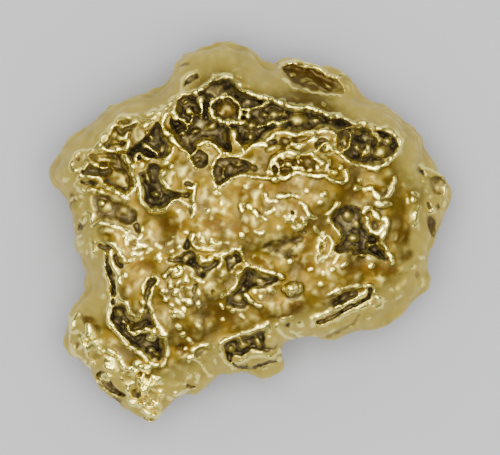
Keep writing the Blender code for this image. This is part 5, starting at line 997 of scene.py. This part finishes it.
def relief(places):
    """Rise of the top at each place, then how stained it is (dirt and painted shade), how rusted,
    how bright (rubbed gold and painted highlight), and how far onto the flank it is, where
    wear and a painted sheen make it paler.
    """
    bead = np.clip(0.95 + ripple(places, 0.16, 9.0), *BEAD_WIDTHS)
    inner = ripple(places, 0.24, 11.0)
    inset = distance(places, smooth_line(OUTLINE, closed=True, step=0.1), True)
    flank = 1 - ease((inset - FLANK_START) / FLANK_BLEND)
    ground = ground_of(places, flank)
    stain_and_shade = (FILM - FLANK_FILM * flank) * ease(0.38 + 0.6 * ripple(places, 0.45, 29.0))
    places = shaken(places)
    rust_and_shade, sunk, filled, lip, rubbed_and_highlight = (np.zeros(len(places)) for layer in range(5))
    for *ellipse, brown in SATIN:
        rust_and_shade = np.maximum(rust_and_shade, brown * ease(1.2 * in_ellipse(places, *ellipse)))
    # Pits and cracks grow dark inward from their edges: dirt stain with painted shade over it
    for depth, wall, dark, points in PITS.values():
        at, inset = inset_from(places, points)
        sunk[at] = np.maximum(sunk[at], depth * ease(inset / wall))
        stain_and_shade[at] = np.maximum(stain_and_shade[at], dark * ease(2.5 * inset / wall))
    for depth, half_width, dark, points in CRACKS.values():
        line = smooth_line(points)
        at = near(places, line, half_width)
        share = distance(places[at], line) / half_width
        sunk[at] += depth * ease(1.25 * (1 - share))
        stain_and_shade[at] = np.maximum(stain_and_shade[at], dark * ease(2.5 * (1 - share)))
    # Between the grains of a patch: dirt stain with painted shade in the gaps
    for count, least, most, dark, points in GRAINS.values():
        at, inset = inset_from(places, points)
        between = dark * ease(inset / PATCH_BLEND) * ease(0.5 + inner[at])
        sunk[at] += PATCH_DEPTH * between
        stain_and_shade[at] = np.maximum(stain_and_shade[at], between)
    for height, half_width, points in RIDGES.values():
        line = smooth_line(points)
        at = near(places, line, 3 * half_width)
        share = distance(places[at], line) / (half_width * bead[at])
        crest = height * np.clip(bead[at], *BEAD_HEIGHTS)
        lip[at] = np.maximum(lip[at], crest * np.exp(-share**4))
        filled[at] = np.maximum(filled[at], ease(2.1 - 1.4 * share))
        # Crest of each ridge painted bright: rubbed gold with a painted highlight
        rubbed_and_highlight[at] = np.maximum(rubbed_and_highlight[at], np.exp(-(1.1 * share) ** 4))
    plain = 1 - rust_and_shade
    for *ellipse, height in LUMPS:
        bulge = in_ellipse(places, *ellipse)
        lip += height * bulge**ROUNDNESS * (1 - filled)
        stain_and_shade *= 1 - 0.75 * bulge * (1 - filled)
        plain *= 1 - ease(1.5 * bulge)
    for x, y, long_radius, short_radius, turn in BEADS + grains():
        bulge = in_ellipse(places, x, y, long_radius, short_radius, turn)
        lip += BEAD_RISE * short_radius * bulge**ROUNDNESS
        filled = np.maximum(filled, ease(2 * bulge) * np.clip(short_radius / FULL_BEAD, 0, 1))
        # Beads and grains painted bright: rubbed gold with a painted highlight
        bright = np.clip(short_radius / BRIGHT_BEAD, 0.3, 1)
        rubbed_and_highlight = np.maximum(rubbed_and_highlight, ease(2.2 * bulge) * bright)
    floor = FLOOR_SWELL * inner + FLOOR_KNOBS * (1 - 2 * np.abs(inner))
    floor *= np.clip(sunk / ROUGH_DEPTH, 0, 1) * plain
    stain_and_shade *= (1 - 0.7 * rust_and_shade) * (1 - filled)
    rise = lip + ground + (floor - sunk) * (1 - filled)
    return rise, stain_and_shade, rust_and_shade * (1 - filled), rubbed_and_highlight, flank


# ---------------------------------------------------------------- meshes

def points_of(mesh, what="co"):
    """The mesh's points, or their normals, as rows of x, y and z."""
    numbers = np.empty(len(mesh.vertices) * 3)
    mesh.vertices.foreach_get(what, numbers)
    return numbers.reshape(-1, 3)


def move_to(mesh, places):
    """Moves the mesh's points to the places."""
    mesh.vertices.foreach_set("co", places.ravel())
    mesh.update()


def reworked(mesh, kind, **settings):
    """The mesh after one modifier."""
    holder = bpy.data.objects.new("work", mesh)
    bpy.context.scene.collection.objects.link(holder)
    modifier = holder.modifiers.new(kind, kind)
    for name, value in settings.items():
        setattr(modifier, name, value)
    evaluated = holder.evaluated_get(bpy.context.evaluated_depsgraph_get())
    result = bpy.data.meshes.new_from_object(evaluated)
    bpy.data.objects.remove(holder)
    bpy.data.meshes.remove(mesh)
    return result


def top_height(places, reach):
    """Height of the top before its pits, blended from the heights in TOP."""
    total = np.zeros(len(places))
    weight = np.zeros(len(places))
    for x, y, z in TOP:
        felt = np.exp(-((places[:, 0] - x) ** 2 + (places[:, 1] - y) ** 2) / (2 * reach**2))
        total += z * felt
        weight += felt
    return total / np.maximum(weight, 1e-9)


def drawn_out(sphere, form):
    """Places of a unit sphere's points on the nugget's outline, waist, top and underside."""
    outline = smooth_line(OUTLINE, closed=True)
    bearing = np.arctan2(outline[:, 1], outline[:, 0])
    order = np.argsort(bearing)
    reach = np.hypot(*outline.T)
    angle = np.arctan2(sphere[:, 1], sphere[:, 0])
    radius = np.interp(angle, bearing[order], reach[order], period=2 * math.pi)
    out = np.hypot(sphere[:, 0], sphere[:, 1])
    shape = np.empty_like(sphere)
    shape[:, 0] = out * radius * np.cos(angle)
    shape[:, 1] = out * radius * np.sin(angle)
    upper = sphere[:, 2] >= 0
    top = shape[upper, :2]
    risen = np.clip(distance(top, outline, True) / form.shoulder, 0, 1)
    risen[out[upper] > 0.9999] = 0
    rise = top_height(top, form.top_reach) - form.waist
    shape[upper, 2] = form.waist + rise * np.sqrt(1 - (1 - risen) ** 2)
    fallen = np.clip(distance(shape[~upper, :2], outline, True) / form.underside, 0, 1)
    turn, steep = UNDERSIDE_CURVE
    fall = (1 - (1 - fallen) ** turn) ** steep
    shape[~upper, 2] = form.waist - (form.waist + form.belly) * fall
    return shape


def body(form):
    """The nugget's form without its pits: a closed skin of even cells."""
    ball = bmesh.new()
    bmesh.ops.create_uvsphere(ball, u_segments=240, v_segments=120, radius=1)
    mesh = bpy.data.meshes.new("body")
    ball.to_mesh(mesh)
    ball.free()
    move_to(mesh, drawn_out(points_of(mesh), form))
    mesh = reworked(mesh, "REMESH", mode="VOXEL", voxel_size=form.body_cell)
    mesh = reworked(mesh, "SMOOTH", factor=0.6, iterations=form.body_smoothing)
    return reworked(mesh, "REMESH", mode="VOXEL", voxel_size=form.skin_cell)


def press_top(mesh, form):
    """Sinks and raises the upward side by the relief, less so where it is steep."""
    places = points_of(mesh)
    upward = ease(points_of(mesh, "normal")[:, 2] / STEEP) * (places[:, 2] > form.waist)
    places[:, 2] += upward * relief(places[:, :2])[0]
    move_to(mesh, places)


def wear_sides(mesh, form):
    """Seeded dents and lumps on the sides and the underside, and a slow swell everywhere."""
    random.seed(SIDE_SEED)
    places = points_of(mesh)
    normals = points_of(mesh, "normal")
    below = 1 - ease((places[:, 2] - form.waist + 0.1) / 0.8) * ease((normals[:, 2] + 0.1) / 0.5)
    shift = np.zeros(len(places))
    middle = places.mean(axis=0)
    facing = (places - middle) / np.linalg.norm(places - middle, axis=1)[:, None]
    for number in range(SIDE_PITS + SIDE_LUMPS):
        around = random.uniform(0, 2 * math.pi)
        height = random.uniform(*SIDE_HEIGHTS)
        level = math.sqrt(1 - height**2)
        way = (level * math.cos(around), level * math.sin(around), height)
        away = places - places[np.argmax(facing @ way)]
        reach = random.uniform(*SIDE_REACHES)
        grain = np.array([random.gauss(0, 1) for axis in range(3)])
        grain /= np.linalg.norm(grain)
        stretch = random.uniform(*SIDE_STRETCHES)
        away -= (1 - 1 / stretch) * (away @ grain)[:, None] * grain
        closeness = np.clip(1 - np.linalg.norm(away, axis=1) / reach, 0, 1)
        if number < SIDE_PITS:
            shift -= SIDE_PIT_DEPTH * reach * ease(1.6 * closeness)
        else:
            shift += SIDE_LUMP_HEIGHT * reach * ease(1.3 * closeness)
    shift += lumpy(places, *SIDE_PEBBLES)
    shift *= below
    for swell in SIDE_SWELLS:
        shift += lumpy(places, *swell)
    from_rest = np.linalg.norm(places, axis=1) / REST_RADIUS
    places += normals * (shift * ease(2 * from_rest - 1))[:, None]
    move_to(mesh, places)


def drop_bubbles(mesh):
    """Keeps the one outer skin, where a dent has pinched a small closed bubble off it."""
    form = bmesh.new()
    form.from_mesh(mesh)
    left = set(form.verts)
    skins = []
    while left:
        skin = {left.pop()}
        edge = list(skin)
        while edge:
            found = {link.other_vert(vert) for vert in edge for link in vert.link_edges} - skin
            skin |= found
            edge = list(found)
        left -= skin
        skins.append(skin)
    skins.sort(key=len)
    bubbles = [vert for skin in skins[:-1] for vert in skin]
    bmesh.ops.delete(form, geom=bubbles, context="VERTS")
    form.to_mesh(mesh)
    form.free()


def rest_flat(mesh):
    """Cuts the underside off flat at z = 0, where the nugget rests."""
    form = bmesh.new()
    form.from_mesh(mesh)
    everything = form.verts[:] + form.edges[:] + form.faces[:]
    bmesh.ops.bisect_plane(
        form, geom=everything, plane_co=(0, 0, 0), plane_no=(0, 0, -1), clear_outer=True
    )
    rim = [edge for edge in form.edges if edge.is_boundary]
    if not rim:
        raise RuntimeError("the nugget doesn't reach down to the floor that it rests on")
    bmesh.ops.triangle_fill(form, edges=rim, use_beauty=True, normal=(0, 0, -1))
    bmesh.ops.triangulate(form, faces=form.faces[:])
    bmesh.ops.recalc_face_normals(form, faces=form.faces[:])
    form.to_mesh(mesh)
    form.free()


def curvature(mesh, rounds):
    """How far each point stands out of its surroundings, in millimetres, after some rounds."""
    count = len(mesh.vertices)
    ends = np.empty(len(mesh.edges) * 2, np.int64)
    mesh.edges.foreach_get("vertices", ends)
    first, second = ends.reshape(-1, 2).T
    places = points_of(mesh)
    smooth = places.copy()
    links = np.bincount(first, minlength=count) + np.bincount(second, minlength=count)
    for turn in range(rounds):
        total = np.zeros_like(smooth)
        for axis in range(3):
            total[:, axis] = np.bincount(first, smooth[second, axis], count)
            total[:, axis] += np.bincount(second, smooth[first, axis], count)
        smooth = 0.5 * smooth + 0.5 * total / links[:, None]
    return ((places - smooth) * points_of(mesh, "normal")).sum(axis=1)


def mark_finish(mesh, form):
    """Stores how stained, rusted, bright and paler with wear each point is, for the material to
    read: painted shade in the hollows, a painted highlight on the crests, a painted sheen on
    flanks and sides.
    """
    places = points_of(mesh)
    stain_and_shade, rust_and_shade, rubbed_and_highlight, flank = relief(places[:, :2])[1:]
    # Faces turned up count as top; flanks, sides and underside take the pale painted sheen
    top = ease(points_of(mesh, "normal")[:, 2] / 0.2 + 0.8) * (places[:, 2] > form.waist)
    # Convex crests get a painted highlight, partly rubbed gold
    crest = ease(curvature(mesh, CREST_ROUNDS) / CREST_HEIGHT)
    # Concave hollows get painted shade, darker and browner, partly dirt
    hollow = ease(-curvature(mesh, HOLLOW_ROUNDS) / HOLLOW_DEPTH)
    # Painted shade of the hollows goes into the stain and, off the top, into the rust
    marks = {
        "stain_and_shade": top * stain_and_shade + (1 - top) * 0.7 * hollow + 0.3 * hollow,
        "rust_and_shade": top * rust_and_shade + (1 - top) * 0.6 * hollow,
        "rubbed_and_highlight": top * 0.9 * rubbed_and_highlight + 0.3 * crest,
        "worn_and_sheen": 1 - top * (1 - flank),
    }
    for name, amount in marks.items():
        layer = mesh.attributes.new(name, "FLOAT", "POINT")
        layer.data.foreach_set("value", np.clip(amount, 0, 1).astype(np.float32))


def fit_to_frame(mesh, low, high):
    """Brings the nugget from millimetres to the box of the frame's nugget, in metres."""
    places = points_of(mesh)
    least, most = places.min(axis=0), places.max(axis=0)
    share = (places - least) / (most - least)
    move_to(mesh, np.array(low) + share * (np.array(high) - np.array(low)))


# ---------------------------------------------------------------- finish

def feed(tree, sockets, values):
    """Gives each socket its value: a link from another socket, or a constant."""
    for socket, value in zip(sockets, values):
        if isinstance(value, bpy.types.NodeSocket):
            tree.links.new(value, socket)
        else:
            socket.default_value = value


def mix(tree, kind, factor, first, second):
    """A Mix node. Each input is a socket or a constant."""
    node = tree.nodes.new("ShaderNodeMix")
    node.data_type = kind
    feed(tree, [socket for socket in node.inputs if socket.enabled], (factor, first, second))
    return next(socket for socket in node.outputs if socket.enabled)


def math_node(tree, operation, first, second):
    """A Math node, whose sum is held between 0 and 1."""
    node = tree.nodes.new("ShaderNodeMath")
    node.operation = operation
    node.use_clamp = operation == "ADD"
    feed(tree, node.inputs, (first, second))
    return node.outputs[0]


def attribute(tree, name):
    """One of the amounts stored on the skin's points."""
    node = tree.nodes.new("ShaderNodeAttribute")
    node.attribute_name = name
    return node.outputs["Fac"]


def noise_node(tree, coordinates, size):
    """Noise with features about the given size, in metres."""
    node = tree.nodes.new("ShaderNodeTexNoise")
    node.inputs["Scale"].default_value = 1 / size
    node.inputs["Detail"].default_value = 3.0
    tree.links.new(coordinates, node.inputs["Vector"])
    return node.outputs["Fac"]


def spread(tree, value, low, high):
    """0 where the value is low or less, 1 where it is high or more."""
    node = tree.nodes.new("ShaderNodeMapRange")
    node.interpolation_type = "SMOOTHSTEP"
    node.inputs["From Min"].default_value = low
    node.inputs["From Max"].default_value = high
    tree.links.new(value, node.inputs["Value"])
    return node.outputs["Result"]


def gold_material(look):
    """Natural gold: satin with wear, paler with a painted sheen on flanks and sides, bright on the
    ridges as rubbed gold with a painted highlight, stained brown to dark in pits with painted
    shade.
    """
    material = bpy.data.materials.new("natural_gold")
    material.use_nodes = True
    tree = material.node_tree
    surface = tree.nodes["Principled BSDF"]
    coordinates = tree.nodes.new("ShaderNodeTexCoord").outputs["Object"]
    stain_and_shade = attribute(tree, "stain_and_shade")
    rust_and_shade = attribute(tree, "rust_and_shade")
    rubbed_and_highlight = attribute(tree, "rubbed_and_highlight")
    mottle = noise_node(tree, coordinates, MOTTLE_SIZE)
    # Paler gold on the flanks and sides: wear with a painted sheen of the bright surroundings
    worn_and_sheen = mix(tree, "RGBA", attribute(tree, "worn_and_sheen"), (*look.gold, 1), (*look.pale, 1))
    blotched = math_node(tree, "ADD", rust_and_shade, math_node(tree, "MULTIPLY", mottle, 0.5))
    # Brown where rusted, and on the sides in hollows as painted shade
    rusty_and_shaded = spread(tree, blotched, 0.25, 0.95)
    browned = mix(tree, "RGBA", rusty_and_shaded, worn_and_sheen, (*look.brown, 1))
    # Dark and olive of pits, cracks and hollows: dirt and film with painted shade
    pit = mix(tree, "RGBA", spread(tree, mottle, 0.40, 0.62), (*look.dark, 1), (*look.olive, 1))
    ground = mix(tree, "RGBA", stain_and_shade, browned, pit)
    # Bright gold on crests, ridges and beads: rubbed gold with a painted highlight
    colour = mix(tree, "RGBA", rubbed_and_highlight, ground, (*look.bright, 1))
    tree.links.new(colour, surface.inputs["Base Color"])

    rough = mix(tree, "FLOAT", rusty_and_shaded, look.satin, look.stain_roughness)
    rough = mix(tree, "FLOAT", stain_and_shade, rough, look.stain_roughness)
    rough = mix(tree, "FLOAT", rubbed_and_highlight, rough, look.polish)
    tree.links.new(rough, surface.inputs["Roughness"])
    bare = mix(tree, "FLOAT", stain_and_shade, 1.0, look.bare)
    tree.links.new(mix(tree, "FLOAT", rubbed_and_highlight, bare, 1.0), surface.inputs["Metallic"])

    bump = tree.nodes.new("ShaderNodeBump")
    bump.inputs["Strength"].default_value = look.grain
    bump.inputs["Distance"].default_value = look.grain_depth
    tree.links.new(noise_node(tree, coordinates, look.grain_size), bump.inputs["Height"])
    tree.links.new(bump.outputs["Normal"], surface.inputs["Normal"])
    return material


def floor_material(colour):
    """Plain and matt, with hardly any shine."""
    material = bpy.data.materials.new("studio_floor")
    material.use_nodes = True
    surface = material.node_tree.nodes["Principled BSDF"]
    surface.inputs["Base Color"].default_value = (*colour, 1)
    surface.inputs["Roughness"].default_value = 0.9
    surface.inputs["Specular IOR Level"].default_value = 0.1
    return material


# ---------------------------------------------------------------- settings

class NuggetForm(bpy.types.PropertyGroup):
    """The nugget's form, worked at 1 unit = 1 mm."""

    waist: bpy.props.FloatProperty(
        name="Waist", description="Height at which the nugget is widest, mm", default=1.60
    )
    shoulder: bpy.props.FloatProperty(
        name="Shoulder", description="Distance in from the outline of the full height, mm",
        default=0.95,
    )
    underside: bpy.props.FloatProperty(
        name="Underside", description="Distance in from the outline of the lowest place, mm",
        default=3.60,
    )
    belly: bpy.props.FloatProperty(
        name="Belly", description="How far the underside is pressed flat, mm", default=0.10
    )
    top_reach: bpy.props.FloatProperty(
        name="Top reach", description="How far each height of the top is felt, mm", default=0.62
    )
    body_cell: bpy.props.FloatProperty(
        name="Body cell", description="Cell of the plain body's skin, mm", default=0.060
    )
    body_smoothing: bpy.props.IntProperty(
        name="Body smoothing", description="Rounds of smoothing of the plain body", default=14
    )
    skin_cell: bpy.props.FloatProperty(
        name="Skin cell", description="Cell of the finished skin, mm", default=0.026
    )
    triangles: bpy.props.IntProperty(
        name="Triangles", description="Most triangles in the finished skin", default=196000
    )


class NuggetFinish(bpy.types.PropertyGroup):
    """Colours and roughness of the gold."""

    gold: bpy.props.FloatVectorProperty(
        name="Gold", description="Worn gold", subtype="COLOR", default=(0.140, 0.088, 0.007)
    )
    # Paler gold of the flanks and sides: wear and a painted sheen
    pale: bpy.props.FloatVectorProperty(
        name="Pale gold", description="Worn gold where it is paler", subtype="COLOR",
        default=(0.56, 0.43, 0.075),
    )
    # Bright gold: rubbed gold and a painted highlight
    bright: bpy.props.FloatVectorProperty(
        name="Bright gold", description="Gold rubbed bright on ridges and grains",
        subtype="COLOR", default=(1.0, 0.88, 0.22),
    )
    olive: bpy.props.FloatVectorProperty(
        name="Olive film", description="Thin film in the pits", subtype="COLOR",
        default=(0.15, 0.115, 0.044),
    )
    # Brown of rust, and of painted shade in the hollows of the sides
    brown: bpy.props.FloatVectorProperty(
        name="Brown stain", description="Iron stain in shallow hollows", subtype="COLOR",
        default=(0.095, 0.050, 0.004),
    )
    # Dark of dirt, and of painted shade in the pits, cracks and hollows
    dark: bpy.props.FloatVectorProperty(
        name="Dark stain", description="Dirt in the deep pits", subtype="COLOR",
        default=(0.032, 0.022, 0.008),
    )
    satin: bpy.props.FloatProperty(
        name="Satin", description="Roughness of the worn gold", default=0.50, min=0, max=1
    )
    polish: bpy.props.FloatProperty(
        name="Polish", description="Roughness of the bright ridges", default=0.17, min=0, max=1
    )
    stain_roughness: bpy.props.FloatProperty(
        name="Stain roughness", description="Roughness of the stained hollows", default=0.66,
        min=0, max=1,
    )
    bare: bpy.props.FloatProperty(
        name="Bare metal", description="How metallic the stained hollows stay", default=0.85,
        min=0, max=1,
    )
    grain: bpy.props.FloatProperty(
        name="Grain", description="Strength of the finest grain", default=0.2, min=0, max=1
    )
    grain_size: bpy.props.FloatProperty(
        name="Grain size", description="Width of the finest grain", default=0.12 * MM,
        unit="LENGTH",
    )
    grain_depth: bpy.props.FloatProperty(
        name="Grain depth", description="Depth of the finest grain", default=0.03 * MM,
        unit="LENGTH",
    )


class StudioSettings(bpy.types.PropertyGroup):
    """The pale floor, the soft lights and the camera above."""

    floor_colour: bpy.props.FloatVectorProperty(
        name="Floor", description="Colour of the floor", subtype="COLOR",
        default=(0.26, 0.26, 0.265),
    )
    floor_size: bpy.props.FloatProperty(
        name="Floor size", description="Side of the floor", default=3.0, unit="LENGTH"
    )
    view_width: bpy.props.FloatProperty(
        name="View width", description="Width of floor that the camera takes in",
        default=12.5 * MM, unit="LENGTH",
    )
    camera_height: bpy.props.FloatProperty(
        name="Camera height", description="Height of the camera over the floor",
        default=400 * MM, unit="LENGTH",
    )
    sky: bpy.props.FloatProperty(
        name="Sky", description="Strength of the pale surroundings", default=0.24
    )
    panel_radiance: bpy.props.FloatProperty(
        name="Panel radiance", description="Brightness of each panel of the ring", default=5.5
    )
    panel_angle: bpy.props.FloatProperty(
        name="Panel angle", description="Angle of the ring of panels from straight up",
        default=math.radians(44), subtype="ANGLE",
    )
    panel_distance: bpy.props.FloatProperty(
        name="Panel distance", description="From the nugget to each panel", default=70 * MM,
        unit="LENGTH",
    )
    panel_width: bpy.props.FloatProperty(
        name="Panel width", description="Along the ring", default=30 * MM, unit="LENGTH"
    )
    panel_depth: bpy.props.FloatProperty(
        name="Panel depth", description="Across the ring", default=24 * MM, unit="LENGTH"
    )
    top_radiance: bpy.props.FloatProperty(
        name="Top radiance", description="Brightness of the panel straight above", default=17
    )
    top_width: bpy.props.FloatProperty(
        name="Top width", description="Side of the panel straight above", default=50 * MM,
        unit="LENGTH",
    )


# ---------------------------------------------------------------- studio

def soft_panel(way, distance, width, depth, radiance):
    """A soft panel that faces the nugget and isn't seen by the camera."""
    panel = bpy.data.lights.new("panel", "AREA")
    panel.shape = "RECTANGLE"
    panel.size = width
    panel.size_y = depth
    panel.energy = radiance * math.pi * width * depth
    light = bpy.data.objects.new("panel", panel)
    light.location = way * distance
    light.rotation_euler = way.to_track_quat("Z", "Y").to_euler()
    light.visible_camera = False
    bpy.context.scene.collection.objects.link(light)


# ---------------------------------------------------------------- operators

class NUGGET_OT_nugget(bpy.types.Operator):
    """Build the nugget's fine surface in place of the frame's plain solid"""

    bl_idname = "nugget.build_nugget"
    bl_label = "Nugget"

    def execute(self, context):
        form = context.scene.nugget_form
        mesh = body(form)
        press_top(mesh, form)
        wear_sides(mesh, form)
        mesh = reworked(mesh, "REMESH", mode="VOXEL", voxel_size=form.skin_cell)
        drop_bubbles(mesh)
        triangles = sum(len(face.vertices) - 2 for face in mesh.polygons)
        mesh = reworked(
            mesh, "DECIMATE", ratio=form.triangles / triangles, use_collapse_triangulate=True
        )
        rest_flat(mesh)
        mark_finish(mesh, form)
        fit_to_frame(mesh, *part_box(NODE))
        mesh.materials.clear()
        mesh.materials.append(gold_material(context.scene.nugget_finish))
        mesh.shade_smooth()
        nugget = bpy.data.objects.new("nugget_skin", mesh)
        context.scene.collection.objects.link(nugget)
        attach(nugget, "root")
        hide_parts(NODE)
        return {"FINISHED"}


class NUGGET_OT_studio(bpy.types.Operator):
    """Build the floor, the lights and the camera"""

    bl_idname = "nugget.build_studio"
    bl_label = "Studio"

    def execute(self, context):
        studio = context.scene.nugget_studio
        plane = bmesh.new()
        bmesh.ops.create_grid(plane, x_segments=1, y_segments=1, size=studio.floor_size / 2)
        mesh = bpy.data.meshes.new("floor")
        plane.to_mesh(mesh)
        plane.free()
        mesh.materials.append(floor_material(studio.floor_colour))
        floor = bpy.data.objects.new("floor", mesh)
        context.scene.collection.objects.link(floor)

        world = bpy.data.worlds.new("studio")
        world.use_nodes = True
        background = world.node_tree.nodes["Background"]
        background.inputs["Color"].default_value = SKY_COLOUR
        background.inputs["Strength"].default_value = studio.sky
        context.scene.world = world

        soft_panel(Vector((0, 0, 1)), studio.panel_distance, studio.top_width,
                   studio.top_width, studio.top_radiance)
        down = studio.panel_angle
        for number in range(PANELS):
            around = math.radians(360 / PANELS * (number + 0.5))
            way = Vector((
                math.sin(down) * math.cos(around), math.sin(down) * math.sin(around),
                math.cos(down),
            ))
            soft_panel(way, studio.panel_distance, studio.panel_width, studio.panel_depth,
                       studio.panel_radiance)

        lens = bpy.data.cameras.new("camera")
        lens.lens = lens.sensor_width * studio.camera_height / studio.view_width
        camera = bpy.data.objects.new("camera", lens)
        camera.location = (*CAMERA_ASIDE, studio.camera_height)
        lens.clip_start = 1 * MM
        context.scene.collection.objects.link(camera)
        context.scene.camera = camera
        return {"FINISHED"}


class NUGGET_PT_panel(bpy.types.Panel):
    """The nugget's settings and steps"""

    bl_idname = "NUGGET_PT_panel"
    bl_label = "Nugget"
    bl_space_type = "VIEW_3D"
    bl_region_type = "UI"
    bl_category = "Nugget"

    def draw(self, context):
        for name in ("nugget_form", "nugget_finish", "nugget_studio"):
            group = getattr(context.scene, name)
            box = self.layout.box()
            for setting in group.bl_rna.properties:
                if setting.identifier not in ("rna_type", "name"):
                    box.prop(group, setting.identifier)
        self.layout.operator(NUGGET_OT_nugget.bl_idname)
        self.layout.operator(NUGGET_OT_studio.bl_idname)


GROUPS = {
    "nugget_form": NuggetForm, "nugget_finish": NuggetFinish, "nugget_studio": StudioSettings,
}
CLASSES = (*GROUPS.values(), NUGGET_OT_nugget, NUGGET_OT_studio, NUGGET_PT_panel)


def register():
    for made in CLASSES:
        bpy.utils.register_class(made)
    for name, group in GROUPS.items():
        setattr(bpy.types.Scene, name, bpy.props.PointerProperty(type=group))


def unregister():
    for name in GROUPS:
        delattr(bpy.types.Scene, name)
    for made in reversed(CLASSES):
        bpy.utils.unregister_class(made)


def main():
    register()
    bpy.ops.nugget.build_studio()
    bpy.ops.nugget.build_nugget()


if __name__ == "__main__":
    main()
